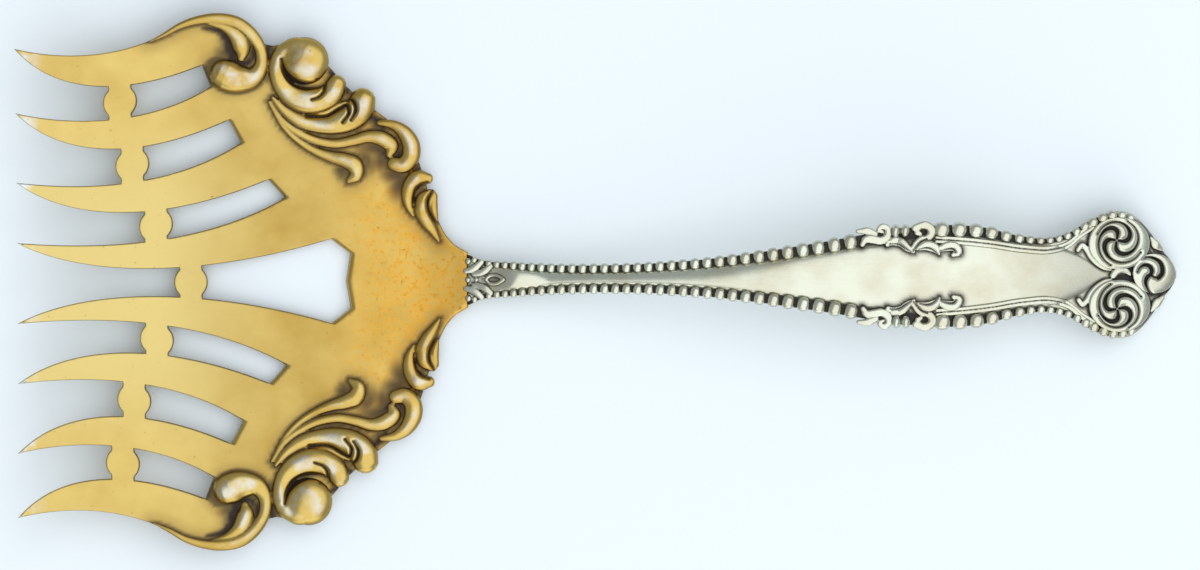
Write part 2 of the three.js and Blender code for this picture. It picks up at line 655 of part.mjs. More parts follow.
function place(name, geometry, finish) {
  const mesh = new THREE.Mesh(geometry, new THREE.MeshStandardMaterial(finish));
  mesh.name = name;
  fork.add(mesh);
}

// A piece for the +Y side and its mirror image for the other
function placePair(name, solid, finish) {
  const geometry = toGeometry(solid);
  place(`left_${name}`, geometry, finish);
  place(`right_${name}`, mirrored(geometry), finish);
}

const bed = handleBed();
place('fork_head', toGeometry(forkHead()), GILT);
placePair('scroll_border', scrollBorder(), GILT);
place('handle', toGeometry(handle()), SILVER);
place('heel_palmette', toGeometry(palmette(bed)), SILVER);
placePair('lower_beads', beadRun(LOWER_BEADS), SILVER);
placePair('upper_beads', beadRun(UPPER_BEADS), SILVER);
placePair('side_scroll', sideScroll(bed), SILVER);
placePair('thread', thread(bed), SILVER);
placePair('whorl', whorl(bed), SILVER);
place('end_scroll', toGeometry(endScroll(bed)), SILVER);

export default fork;
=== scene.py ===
import math

import bmesh
import bpy
import numpy as np
from bpy.props import FloatProperty, FloatVectorProperty, PointerProperty
from mathutils import Matrix, Vector


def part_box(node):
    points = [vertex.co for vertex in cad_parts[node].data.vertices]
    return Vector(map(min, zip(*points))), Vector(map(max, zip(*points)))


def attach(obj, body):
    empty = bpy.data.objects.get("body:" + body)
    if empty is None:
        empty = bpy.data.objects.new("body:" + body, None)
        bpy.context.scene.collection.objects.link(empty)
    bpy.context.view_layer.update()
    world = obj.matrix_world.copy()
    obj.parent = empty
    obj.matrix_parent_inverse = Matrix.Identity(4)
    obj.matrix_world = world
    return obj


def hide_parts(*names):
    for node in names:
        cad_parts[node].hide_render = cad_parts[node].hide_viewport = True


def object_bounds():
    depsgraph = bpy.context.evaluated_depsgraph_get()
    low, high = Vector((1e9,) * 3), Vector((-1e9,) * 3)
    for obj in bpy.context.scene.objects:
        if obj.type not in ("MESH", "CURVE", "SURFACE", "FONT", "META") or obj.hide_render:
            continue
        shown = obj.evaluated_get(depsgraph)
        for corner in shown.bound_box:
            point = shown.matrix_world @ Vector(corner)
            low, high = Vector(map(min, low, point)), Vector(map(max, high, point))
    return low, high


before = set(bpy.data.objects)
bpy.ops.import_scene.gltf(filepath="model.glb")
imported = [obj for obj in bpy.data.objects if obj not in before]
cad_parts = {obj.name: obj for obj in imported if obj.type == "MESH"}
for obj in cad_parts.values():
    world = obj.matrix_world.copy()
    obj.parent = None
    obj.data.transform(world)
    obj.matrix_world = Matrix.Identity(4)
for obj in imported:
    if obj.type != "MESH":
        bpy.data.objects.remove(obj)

bl_info = {
    "name": "Sardine Fork",
    "version": (1, 0, 0),
    "blender": (4, 5, 0),
    "location": "3D View > Sidebar > Fork",
    "description": "Dresses the frame of a parcel-gilt sardine fork with its struck and pierced silver",
    "category": "Object",
}

# The modelling is in millimetres, and each finished piece is scaled to metres.
MM = 0.001
CAD_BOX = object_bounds()
TIP_X = CAD_BOX[0].x / MM
END_X = CAD_BOX[1].x / MM
HEEL_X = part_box("handle")[0].x / MM
BODY = "root"
GILT_SLOT = "gilt_silver"
SILVER_SLOT = "oxidised_silver"

# Stations of the side view
PALM_START_X = -34
PALM_END_X = -26
CREST_X = 26
FLAT_HALF_WIDTH = 7

# Head: the shoulder, where the outer tine's edge meets the scroll border, and the tines from the middle
# outwards, each with the y of its tip, its y and width at the tie, and the roots of its two edges
SHOULDER = (-54.4, 34.1)
TINES = [
    {"tip": 5.3, "waist": 3.6, "width": 3.6, "inner_root": (-35.1, 5.6), "outer_root": (-41.1, 11.1)},
    {"tip": 13.2, "waist": 11.15, "width": 3.9, "inner_root": (-43.3, 13.5), "outer_root": (-46.8, 18.4)},
    {"tip": 22.3, "waist": 19.5, "width": 3.9, "inner_root": (-48.4, 21.4), "outer_root": (-50.7, 25.8)},
    {"tip": 30.7, "waist": 27.9, "width": 4.2, "inner_root": (-51.8, 28.6), "outer_root": SHOULDER},
]
INNER_EDGE_HANDLES = (0.21, 0.59)
OUTER_EDGE_HANDLES = (0.28, 0.67)
TIE_STATIONS = (-53.7, -58.2, -61.2, -62.7)
SLOT_BACK_X = -33.1
SLOT_CORNER = (-32.5, 3.6)
SLOT_SPLAY = 0.3
SLOT_BEVEL = 0.25
HEEL_HALF_WIDTH = 3.6
SHOULDER_EDGE = [(0, 0), (4.8, 0.7), (8.4, -0.4), (10.9, -2.9), (15.6, -2.7), (18.8, -5.5), (21.4, -8.5),
                 (24.6, -11.2), (28.4, -14.4), (30.4, -17.5), (31.6, -20.9), (32.6, -24.3), (33.4, -26.4),
                 (34.4, -28.3), (35.5, -29.5)]

# Scroll border, from the shoulder: x towards the handle, y outwards, and the stroke's half width there
BORDER_STROKES = {
    "volute": [(-4.4, -2.55, .12), (-2.3, -1.55, .3), (-.1, -.35, .45), (2.3, .35, .6), (4.6, .5, .75),
               (7.2, -.1, .85), (9.2, -1.8, .85), (10.25, -3.8, .82), (10.2, -5.8, .95), (9.3, -7.1, 1.3),
               (7.8, -7.4, 1.75), (6.4, -7.2, 2.05), (5.6, -6.85, 2.1)],
    "boss_root": [(13.7, -3.5, 1.1), (14.5, -3.35, 1.4), (15.2, -3.7, 1.75)],
    "volute_tongue": [(3.4, -.1, .25), (5.3, -.5, .6), (6.85, -1.55, 1), (7.55, -2.75, 1.2),
                      (7.75, -3.8, 1.05), (7.65, -4.6, .6)],
    "collar": [(14.6, -3.1, 1.1), (13, -4.2, 1.2), (12.3, -6.1, 1.1), (12.8, -8.1, 1.2), (14.2, -9.6, 1.5),
               (16.2, -10.3, 1.75), (18.2, -10.1, 1.65), (19.7, -9.1, 1.5), (20.05, -8.3, 1.35)],
    "shoulder_scroll": [(11.7, -9.9, .3), (13.1, -11.5, .6), (15, -12.8, .9), (17.4, -13.45, 1.12),
                        (19.9, -13.3, 1.5), (21.9, -12.6, 1.75), (23.2, -11.3, 1.9),
                        (23.5, -10.45, 1.75)],
    "scroll_leaf": [(16.6, -12.1, .3), (18.6, -12, .5), (20.3, -11.5, .7), (21.4, -10.9, .6)],
    "upper_leaf": [(11.2, -10.45, .25), (13.1, -13.1, .4), (15.2, -14.6, .5), (17.6, -15.65, .58),
                   (20, -16, .64), (22.3, -15.6, .72), (24.4, -15.1, .85), (26.2, -15.5, 1.05),
                   (27.3, -16.5, .95), (27, -17.4, .55)],
    "lower_leaf": [(11.4, -10.9, .25), (13.1, -13.75, .36), (15, -15.6, .45), (17.1, -16.9, .55),
                   (19.2, -17.7, .75), (21.1, -18.2, 1), (22.4, -18.9, 1.15), (22.6, -20.1, .95),
                   (21.6, -20.9, .4)],
    "waist_scroll": [(25.6, -13.3, .35), (27.5, -13.6, .65), (29.1, -14.8, 1), (29.9, -16.6, 1.2),
                     (29.7, -18, 1.2), (28.7, -18.9, 1.1), (27.6, -18.75, .95)],
    "heel_scroll": [(32, -20.7, .75), (30.7, -20.7, 1.2), (29.7, -21.7, 1.05), (29.35, -23.1, .85),
                    (29.5, -24.4, .55), (30, -25.5, .25)],
    "tail_leaf": [(32.4, -22.8, .75), (31.6, -23.5, 1.15), (31.3, -24.8, 1.15), (31.75, -26.2, .95),
                  (32.6, -27.6, .6), (33.4, -28.9, .25)],
    "tail_fold": [(32.9, -22.9, .4), (32.75, -24.5, .55), (33.05, -26.2, .35)],
}
# Lines cut into the scrolls, in the same way
BORDER_GROOVES = {
    "boss_crescent": [(12.95, -4.9, .05), (13.3, -6.2, .2), (14.1, -7.3, .34), (15.2, -8.05, .38),
                      (16.4, -8.4, .32), (17.5, -8.2, .15), (18.1, -7.7, .06)],
    "collar_comma": [(17.7, -7.7, .05), (18.4, -8.2, .1), (18.5, -9, .11), (17.9, -9.8, .09),
                     (16.9, -10.2, .04)],
    "scroll_comma": [(16.2, -12.4, .06), (18.8, -12.4, .12), (20.6, -11.35, .15), (21.4, -11, .15),
                     (21.75, -11.9, .15), (20.9, -13.2, .06)],
    "scroll_eye": [(21.2, -10, .06), (22.3, -10.45, .15), (22.65, -11.6, .15), (22, -12.9, .06)],
    "heel_crease": [(31.9, -21.2, .06), (30.8, -21.8, .13), (30.35, -23.1, .12), (30.3, -24.4, .05)],
    "tail_crease": [(32.6, -22.3, .08), (32, -23.6, .14), (32.1, -25, .12), (33, -26.5, .06)],
}
BOSS = {"x": 16, "y": -5.1, "radius": 3.15, "height": 1.55, "lift": 0.3}
# Part of the border where the dome and the collar run into each other, as (x, y, radius)
BOSS_EASE = (13.9, -3.7, 2)
# Painted shadows: black crescents painted on the plate in the deep hollows beside the scrolls, in the same
# way
BORDER_SHADOWS = {
    "volute_hollow": [(2.8, -.7, .1), (4.9, -1.2, .35), (6, -2.5, .6), (6.3, -4, .6), (7.1, -5.2, .4),
                      (8.4, -5.3, .3), (9.2, -4.1, .25), (9.1, -3.2, .1)],
    "neck_notch": [(11.2, -1.7, .2), (11.3, -3, .45), (11.2, -4.4, .3)],
    "collar_notch": [(18.9, -6.3, .15), (19.7, -6.9, .3)],
    "scroll_notch": [(21.7, -8.3, .25), (21.5, -9.3, .25)],
    "waist_notch": [(24.4, -12.3, .3), (25.7, -13.3, .4), (26.4, -14.3, .2)],
    "leaf_pocket": [(25.9, -17, .2), (27.6, -18.1, .35), (28.4, -17.3, .3), (28.3, -16.2, .15)],
    "heel_notch": [(30.6, -19.4, .15), (31.4, -19.7, .35)],
    "tail_notch": [(31.6, -22.3, .15), (32.6, -22.1, .3)],
}
# Pockets of the plate between the scrolls, painted dark as soil and shade, as (x, y, radius)
BORDER_POCKETS = [(5.9, -3.4, 2.6), (12.4, -1.7, 1.6), (15.2, -8.4, 1.6), (25.2, -17.6, 3.8),
                  (27.6, -21, 3.4), (20.6, -19.8, 1.6), (25.5, -13.4, 1.6), (31, -19.3, 1.4)]

# Handle: half width at stations along it, and the radius of the beads along its rim
HANDLE_EDGE = [(-17.4, 3.4), (-15.4, 2.75), (-11, 2.35), (-1, 2), (13.4, 2.65), (29, 4.85), (37, 6.2),
               (45, 7.05), (50.2, 6.7), (55.4, 5.4), (58.7, 5), (61.8, 5.75), (64.6, 7.35), (67.9, 8.4),
               (70.5, 7.8), (72.5, 5.85), (74.5, 3), (75.5, 1.8), (76, .95), (76.2, .4)]
LOWER_BEADS = [(-16.2, .42), (-14, .47), (-10, .55), (-5, .62), (6, .66), (16, .75), (27, .93), (33.3, .98)]
UPPER_BEADS = [(44.9, 1.02), (50, .92), (53, .78), (56, .6), (58.5, .5), (62, .52), (65, .64), (68, .62),
               (70.4, .52)]
# Spacing and half length of the beads, in their own radii, and their squareness, in each run
BEAD_RUNS = {"lower": (LOWER_BEADS, 2.22, .93, .82), "upper": (UPPER_BEADS, 2.32, 1.08, .86)}
# The beads overhang the rim, by a share of their radius, between these stations
BEAD_OVERHANG = 0.35
BEADED_RIM = (-16.8, -15.6, 66, 69.5)
# Height of a bead's middle above the rim, and its half width and height, in its own radii
BEAD_LIFT = 0.2
BEAD_HALF_WIDTH = 1.05
BEAD_HALF_HEIGHT = 0.8
# The last beads slant like the strands of a rope: the turn in radians, and where it comes in
BEAD_SLANT = 0.6
SLANT_STATIONS = (62.5, 64.5)
LAP_END_X = -11.9
RIM_START_X = -6.4
CROWN_START_X = -14
CROWN_FULL_X = -10.5
CROWN_FADE_X = 58
CROWN_END_X = 68
# The back is low on the narrow shank and higher where the handle spreads
FULL_BACK_X = 20
FLAT_BACK_X = 48
CROWN_LEAST_HALF = 0.3
CROWN_FULLNESS = 0.6
CROWN_SPACING = 0.7
RIM_LIP = 0.12
BED_SHARE = 0.6
# Depth below the rim to which the upper side is marked
TOP_MARGIN = 0.05

# Side scrolls at the widest part of the handle, as (x, y, half width)
SIDE_STROKES = {
    "curl": [(34.5, 4.2, .35), (34.95, 4.85, .5), (35.9, 4.85, .55), (37, 4.7, .55), (37.8, 5.3, .54),
             (37.8, 6.2, .46), (37.15, 6.55, .4), (36.65, 6.1, .32), (37.1, 5.8, .22)],
    "spur": [(33.9, 5.95, .28), (35.2, 5.95, .5), (36.2, 5.55, .4)],
    "drop": [(37.8, 4.2, .35), (38.5, 4.6, .6), (39.6, 4.4, .62), (40.4, 3.7, .48), (41.2, 3.2, .22)],
    "hook": [(41.4, 6.3, .48), (42.9, 6.6, .6), (43.6, 5.9, .64), (43.1, 5, .55), (42.2, 4.75, .48),
             (41.4, 4.05, .42), (40.95, 3.3, .25)],
    "bud": [(41.7, 5.7, .42), (42.1, 5.5, .3)],
    "first_leaf": [(41.7, 3.75, .4), (42.95, 4, .66), (44.05, 3.6, .62), (44.5, 2.9, .22)],
    "second_leaf": [(44.6, 3.5, .4), (45.5, 3.85, .62), (46.7, 3.75, .64), (47.1, 3.1, .5),
                    (46.35, 2.75, .28)],
}
SIDE_GROOVES = {
    "drop": [(38.2, 4.25, .03), (39.2, 4.2, .08), (40.1, 3.65, .08), (40.8, 3.25, .03)],
    "hook": [(42.9, 4.85, .03), (42.2, 4.5, .07), (41.6, 3.9, .07), (41.15, 3.3, .03)],
    "hook_eye": [(42.4, 6.1, .05), (42.9, 5.85, .1), (42.7, 5.4, .05)],
    "first_leaf": [(42, 3.55, .03), (43, 3.7, .09), (43.9, 3.3, .07), (44.3, 2.85, .03)],
    "second_leaf": [(44.9, 3.3, .03), (45.6, 3.5, .08), (46.45, 3.45, .1), (46.65, 3.15, .04)],
}
SIDE_BEADS = [(38.88, 5.93), (40.14, 5.93)]
SIDE_BEAD_SHAPE = (0.62, 0.9, 0.85)
SIDE_BEAD_LIFT = 0.3

# Outer thread line, which runs on as the ring of the whorl
THREAD_LINE = [(44.2, 5.05), (48, 4.8), (51.15, 4.45), (55.9, 3.75), (59.3, 3.6), (61.5, 4.15), (63.4, 5.6),
               (65.2, 6.75)]

# Whorls, end scroll and the palmette over the heel
WHORL = {"eye": (68.15, 4.5), "ring": (68.5, 4.12), "radii": (4.15, 3.47), "height": .6, "lift": .5,
         "grooves": 4, "hub": .3, "reach": 3.1, "start": 1.4, "sweep": 2.9, "spread": .36}
# Half width of a whorl's groove at shares of its length from the eye
WHORL_GROOVE = {"at": (0, .03, .2, .5, 1), "half": (.14, .26, .26, .11, .04)}
WHORL_LEAF = [(63, 3.3, .32), (63.55, 3.9, .36), (64.1, 3.4, .4), (64.65, 2.5, .4), (65.6, 1.5, .38),
              (66.7, .85, .32), (67.4, .65, .2)]
END_STROKES = {
    "crescent": [(67.65, -.1, .48), (68.05, .36, .5), (68.8, .6, .48), (69.5, .42, .4), (69.95, .05, .25)],
    "upper_filler": [(72.8, 4.8, .2), (73.35, 3.95, .62), (74.1, 3.35, .35)],
    "lower_filler": [(72.8, -4.8, .2), (73.45, -3.85, .62), (74.3, -3.05, .35)],
}
END_DOME = {"ring": (73.2, .1), "radii": (2.95, 2.65), "height": .45, "lift": .6}
END_GROOVES = {
    "outer_hook": [(71.75, 2.15, .05), (72.4, 2.27, .1), (73.2, 2.1, .17), (73.95, 1.62, .23),
                   (74.27, .84, .26), (74.2, .06, .26), (73.8, -.4, .24)],
    "inner_hook": [(70.96, .38, .04), (71.28, .9, .1), (71.87, 1.23, .18), (72.52, 1.1, .24),
                   (72.84, .58, .24), (72.7, 0, .22), (72.26, -.33, .24), (72, -.98, .2),
                   (72.2, -1.76, .12), (72.65, -2.54, .1)],
    "lobe_tip": [(72.7, -.05, .15), (73.2, -.38, .1), (73.8, -.45, .18)],
}
PALMETTE_STROKES = {
    "leaf_edge": [(-14.85, 0, .2), (-14.3, .5, .22), (-13.6, .58, .22), (-12.9, .3, .22), (-12.5, 0, .22)],
    "first_frond": [(-17.5, 1.15, .36), (-16.7, 1.35, .45), (-15.95, 1.8, .46), (-15.4, 2.3, .38)],
    "second_frond": [(-16.4, .72, .32), (-15.45, .9, .43), (-14.8, 1.25, .46), (-14.2, 1.75, .36)],
}
# Dished middle of the palmette's leaf: its x and half sizes
PALMETTE_DISH = (-13.65, 1, 0.45)
PALMETTE_BEADS = [(-17.2, 0, .42), (-16.1, 0, .36), (-15.2, 0, .22), (-17.15, 2.42, .45),
                  (-17.15, -2.42, .45)]

# Sections of the strokes, as height, depth of root and fullness, and depth and shoulder of the grooves' cut
BORDER_SECTION = (0.6, 0.55, 1)
CREST_SECTION = (0.6, 0.9, 0.8)
BORDER_CUT = (0.8, 0.45)
SIDE_CUT = (0.45, 0.32)
WHORL_CUT = (0.7, 0.55)
END_CUT = (0.7, 0.5)
# A cut starts inside the groove's edge, and stops above the surface that carries the relief
CUT_START = 0.1
CUT_FLOOR = 0.03
# Half thickness of the plate as it is drawn, before it is bent and brought to its thickness
HALF_PLATE = 0.5

# Finish: depth of a groove that is painted fully dark, as soil and shade, and height of the foot that is
# painted dark, on the border and on the handle
BORDER_SOIL_AND_SHADE = (0.05, 0.25)
CREST_SOIL_AND_SHADE = (0.03, 0.2)
# Rounds of smoothing that find grooves and hollows, and where painted soil and shade starts and painted film
# and shade ends, in that depth
GROOVE_ROUNDS = 16
HOLLOW_ROUNDS = 90
SOIL_AND_SHADE_START = 0.1
FILM_AND_SHADE_REACH = 3
POCKET_CORE = 0.2
RELIEF_FILM_AND_SHADE = 0.6
# Bands of distances, heights or stations over which a mark of the finish comes in or goes, and its strength.
# Most marks are painted shade: on the walls, at the feet of scrolls and beads, in pockets, hollows, grooves,
# seams and the rim channel, round the crests and the scrolls, on the lobes' edges, in the dish and towards
# the end; the upward band gives the lobes' middles a painted sheen
BANDS = {
    "slot_end": (0.22, 0.4, 1), "slot_bevel": (0.22, 1, 1), "bevel_height": (0.35, 0.5, 1),
    "wall_shade": (0.3, 0.48, 0.8), "slot_wall": (-0.4, -0.2, 1), "border_foot": (0, 0.5, 0.7),
    "pocket": (0.4, 2.6, 0.8), "hollow": (-0.2, 0.5, 1), "border_film_and_shade": (0, 2.4, 0.45),
    "palm": (-60, -46, 0.17), "palm_end": (-38, -28, 1), "tips": (TIP_X + 0.5, TIP_X + 4, 1),
    "tines": (-58, -40, 1), "outer_tines": (8, 26, 0.7), "neck": (-40, -22, 1),
    "border_neck": (-34, -20, 0.3), "groove": (-0.05, 0.12, 1), "lobe_edge": (0, 0.5, RELIEF_FILM_AND_SHADE),
    "lobe": (0.45, 1.1, 0.65), "lobe_middle": (1.6, 2.6, 0.5), "upward": (0.8, 0.98, 1),
    "rim": (-0.12, 0.05, 1), "rim_end": (66, 69, 1), "ground": (0, 0.4, 1), "seam": (0, 0.22, 1),
    "crest_film_and_shade": (0.2, 0.9, 0.7), "end_film_and_shade": (50, 66, 0.45), "dish": (0.8, 1.2, 0.9),
    "bead_foot": (-0.3, 0, 1),
}

# Stage, in metres: half size of the paper, and the place and size of each soft box
PAPER_HALF = 2
CEILING = ((0.4, -0.2, 1.3), (3.3, 1.85))
CARD = ((0.1, -1.5, 0.5), (1.8, 0.7))
# Place of the camera beside the origin and above its height, in millimetres
EYE_SHIFT = (0.2, -0.82, 4)
SENSOR_WIDTH = 36
CLIP_END = 10

# Fineness of the meshes
EDGE_STEPS = 40
EDGE_ROUND_STEPS = 2
TIE_STEPS = 22
SHOULDER_STEPS = 4
SLOT_END_STEPS = 24
HEAD_GRID = 1.0
STROKE_STEP = 0.2
STROKE_LEAST_STEPS = 8
STROKE_END_DEGREES = (84, 60, 32)
SECTION_STEPS = 14
GROOVE_STEPS = 16
HANDLE_STEP = 0.3
CURL_STEPS = 5
RIM_STEPS = 13
CROWN_STEPS = 14
BEAD_SIDES = 12
BEAD_RINGS = 8
BOSS_SIDES = 48
SKIN_ROUNDS = 3
EASE_ROUNDS = 30
WELD = 1e-4
CUT_WELD = 0.01


def linear(hex_colour):
    """An sRGB hex colour as the linear values that the sockets take."""
    values = [int(hex_colour[i:i + 2], 16) / 255 for i in (1, 3, 5)]
    return tuple(v / 12.92 if v <= 0.04045 else ((v + 0.055) / 1.055) ** 2.4 for v in values)


def length_size(name, description, millimetres):
    return FloatProperty(name=name, description=description, default=millimetres * MM, unit="LENGTH",
                         precision=5)


def colour(name, description, hex_colour):
    return FloatVectorProperty(name=name, description=description, default=linear(hex_colour),
                               subtype="COLOR", size=3, min=0, max=1)


class HeadSizes(bpy.types.PropertyGroup):
    tip_rise: length_size("Tip rise", "Height of the tips' underside above the table", 6.5)
    dish_radius: length_size("Dish radius", "Radius of the sideways dish of the head", 190)
    palm_thickness: length_size("Palm thickness", "Plate at the palm", 1.5)
    tip_thickness: length_size("Tip thickness", "Plate at the tips", 0.9)
    edge_round: length_size("Edge round", "Rounding of the pierced edges", 0.2)
    tie_reach: length_size("Tie reach", "Radius of a round tie", 2.2)
    tie_neck: length_size("Tie neck", "Half width of a tie where it meets a tine", 1.5)
    border_lift: length_size("Border lift", "Height of the scrolls' sides above the plate", 0.4)
    border_grain: length_size("Border grain", "Mesh size of the scroll borders", 0.12)


class HandleSizes(bpy.types.PropertyGroup):
    crest_height: length_size("Crest height", "Height of the arched underside above the table", 9)
    heel_thickness: length_size("Heel thickness", "Handle where it laps over the head", 2)
    rim_thickness: length_size("Rim thickness", "Handle under the beads", 1.1)
    rim_round: length_size("Rim round", "Rounding of the handle's lower edges", 0.3)
    crown_rise: length_size("Crown rise", "Height of the smooth back above the rim on the narrow shank", 0.5)
    field_rise: length_size("Field rise", "Height of the smooth back above the rim where the handle spreads",
                            0.8)
    bead_gap: length_size("Bead gap", "Channel between the beads and the back", -0.08)
    reed_half: length_size("Reed half width", "Half width of one of the two thread lines", 0.22)
    reed_pitch: length_size("Reed pitch", "Spacing of the two thread lines", 0.55)
    crest_lift: length_size("Crest lift", "Height of the struck ornaments' sides above the handle", 0.28)
    crest_grain: length_size("Crest grain", "Mesh size of the struck ornaments", 0.07)


class FinishColours(bpy.types.PropertyGroup):
    gilt: colour("Gilt", "Clean gilding", "#C0A65E")
    deep_gilt: colour("Deep gilt", "Gilding where it lies thick", "#AE9047")
    pale_gilt: colour("Pale gilt", "Gilding rubbed thin along the tines", "#C2AE6E")
    stain: colour("Stain", "Orange-brown stain near the neck", "#D29A36")
    # Also a painted sheen on the upward middles of the scrolls' lobes
    worn_and_sheen: colour("Worn", "Silver showing where the gilding has worn off", "#C4C7C4")
    # Also painted shade: this colour darkens the plate round the scrolls, their hollows and their lobes'
    # edges
    gilt_film_and_shade: colour("Gilt film", "Brown film round the scrolls", "#7A6034")
    # Also painted shade: this colour darkens creases, walls and the feet of the scrolls
    gilt_soil_and_shade: colour("Gilt soil", "Dark soil in the recesses of the gilding", "#2A1C12")
    silver: colour("Silver", "Polished silver", "#C6C8B8")
    # Also painted shade: this colour darkens the ground round the ornaments, the palmette's dish and the
    # field towards the end
    silver_film_and_shade: colour("Silver film", "Grey film towards the whorls", "#858174")
    tarnish: colour("Tarnish", "Warm film on the silver", "#B9B49E")
    # Also painted shade: this colour darkens the undersides of the beads, the channels and the ground round
    # the ornaments
    oxide_and_shade: colour("Oxide", "Black oxide in the recesses of the silver", "#1E1810")


class StageSettings(bpy.types.PropertyGroup):
    camera_height: length_size("Camera height", "Camera above the table", 900)
    view_width: length_size("View width", "Width of the picture on the table", 157.8)
    view_turn: FloatProperty(name="View turn", description="Turn of the camera about its axis",
                             default=-0.0081, unit="ROTATION")
    floor: colour("Floor", "Pale paper under the fork", "#ECF3F7")
    sky: colour("Sky", "Soft light all round", "#E6EFF6")
    sky_strength: FloatProperty(name="Sky strength", description="Strength of the light all round",
                                default=0.6, min=0)
    ceiling_power: FloatProperty(name="Ceiling power", description="Power of the wide soft box overhead",
                                 default=22, min=0, unit="POWER")
    card_power: FloatProperty(name="Card power", description="Power of the bright card on the near side",
                              default=5.5, min=0, unit="POWER")


def smooth_share(value, low, high):
    """0 below low, 1 above high, and smooth between."""
    t = np.clip((np.asarray(value, float) - low) / (high - low), 0, 1)
    return t * t * (3 - 2 * t)


def rising(value, name):
    """0 before a band of the finish, the band's strength behind it, and smooth between."""
    low, high, strength = BANDS[name]
    return strength * smooth_share(value, low, high)


def falling(value, name):
    """A band's strength before it, 0 behind it, and smooth between."""
    low, high, strength = BANDS[name]
    return strength * (1 - smooth_share(value, low, high))


def run_of(rows):
    """Value that runs smoothly through (station, value) rows."""
    stations, values = np.array(list(rows), float).T
    slopes = np.gradient(values, stations)

    def value(at):
        at = np.clip(at, stations[0], stations[-1])
        k = np.clip(np.searchsorted(stations, at) - 1, 0, len(stations) - 2)
        span = stations[k + 1] - stations[k]
        t = (at - stations[k]) / span
        ends = values[k] * (1 - t) ** 2 * (1 + 2 * t) + values[k + 1] * t ** 2 * (3 - 2 * t)
        return ends + span * t * (1 - t) * (slopes[k] * (1 - t) - slopes[k + 1] * t)

    return value


def in_mm(group):
    """Sizes of a group in the panel, in millimetres, by name."""
    return {name: getattr(group, name) / MM for name in type(group).__annotations__}


class ForkForm:
    """The fork's main surfaces, in millimetres, from the sizes in the panel."""

    def __init__(self, scene):
        self.head, self.handle = in_mm(scene.fork_head), in_mm(scene.fork_handle)
        self.edge = run_of(HANDLE_EDGE)
        self.bead_radius = run_of(LOWER_BEADS + UPPER_BEADS)

    def underside(self, x):
        tines = np.clip((PALM_START_X - x) / (PALM_START_X - TIP_X), 0, None) ** 2
        fall = np.clip((x - CREST_X) / (END_X - CREST_X), 0, None) ** 2
        arch = smooth_share(x, PALM_END_X, CREST_X) - fall
        return self.head["tip_rise"] * tines + self.handle["crest_height"] * arch

    def dish(self, y):
        return np.clip(np.abs(y) - FLAT_HALF_WIDTH, 0, None) ** 2 / (2 * self.head["dish_radius"])

    def plate_thickness(self, x):
        return np.interp(x, (TIP_X, PALM_START_X), (self.head["tip_thickness"], self.head["palm_thickness"]))

    def plate_top(self, x, y):
        return self.underside(x) + self.plate_thickness(x) + self.dish(y)

    def rim_top(self, x):
        thin = smooth_share(x, LAP_END_X, RIM_START_X)
        heel, rim = self.handle["heel_thickness"], self.handle["rim_thickness"]
        return self.underside(x) + heel + (rim - heel) * thin

    def rim_half(self, x):
        start, full, fade, end = BEADED_RIM
        beaded = smooth_share(x, start, full) * (1 - smooth_share(x, fade, end))
        return self.edge(x) - BEAD_OVERHANG * self.bead_radius(x) * beaded

    def bead_line(self, x):
        return self.edge(x) - 2 * self.bead_radius(x) - self.handle["bead_gap"]

    def crown_half(self, x):
        fade = 1 - smooth_share(x, CROWN_FADE_X, CROWN_END_X)
        return np.maximum(CROWN_LEAST_HALF, self.bead_line(x) * fade)

    def handle_top(self, x, y):
        fade = smooth_share(x, CROWN_START_X, CROWN_FULL_X) * (1 - smooth_share(x, CROWN_FADE_X, CROWN_END_X))
        low, high = self.handle["crown_rise"], self.handle["field_rise"]
        rise = low + (high - low) * smooth_share(x, FULL_BACK_X, FLAT_BACK_X)
        share = np.clip(np.abs(y) / self.crown_half(x), 0, 1)
        return self.rim_top(x) + rise * fade * (1 - share ** 2) ** CROWN_FULLNESS

    def inside_rim(self, x, inset):
        """A point inside the rim, square to the handle's edge, and the edge's slope there."""
        step = 0.05
        slope = (self.edge(x + step) - self.edge(x - step)) / (2 * step)
        length = np.hypot(1, slope)
        return x + inset * slope / length, self.edge(x) - inset / length, slope


def mesh_from(name, bm):
    """A mesh from one under work, which is then freed."""
    mesh = bpy.data.meshes.new(name)
    bm.to_mesh(mesh)
    bm.free()
    return mesh


def in_scene(name, data):
    """An object of the scene, with its data."""
    made = bpy.data.objects.new(name, data)
    bpy.context.scene.collection.objects.link(made)
    return made


def new_piece(name, bm, slot, *nodes):
    """Finishes a mesh in metres as a piece that rides on the fork and stands for its nodes."""
    bmesh.ops.scale(bm, vec=(MM, MM, MM), verts=bm.verts)
    mesh = mesh_from(name, bm)
    mesh.shade_smooth()
    mesh.materials.append(finish(slot))
    piece = in_scene(name, mesh)
    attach(piece, BODY)
    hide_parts(*nodes)
    return piece


def set_field(piece, name, values):
    """Keeps a value for each vertex, which the finish reads."""
    field = piece.data.attributes.new(name, "FLOAT", "POINT")
    field.data.foreach_set("value", np.clip(values, 0, 1).astype(np.float32))


def places_of(piece):
    """Vertices and normals of a piece, in millimetres, as columns."""
    count = len(piece.data.vertices)
    places, normals = np.empty(count * 3), np.empty(count * 3)
    piece.data.vertices.foreach_get("co", places)
    piece.data.vertices.foreach_get("normal", normals)
    return places.reshape(-1, 3) / MM, normals.reshape(-1, 3)


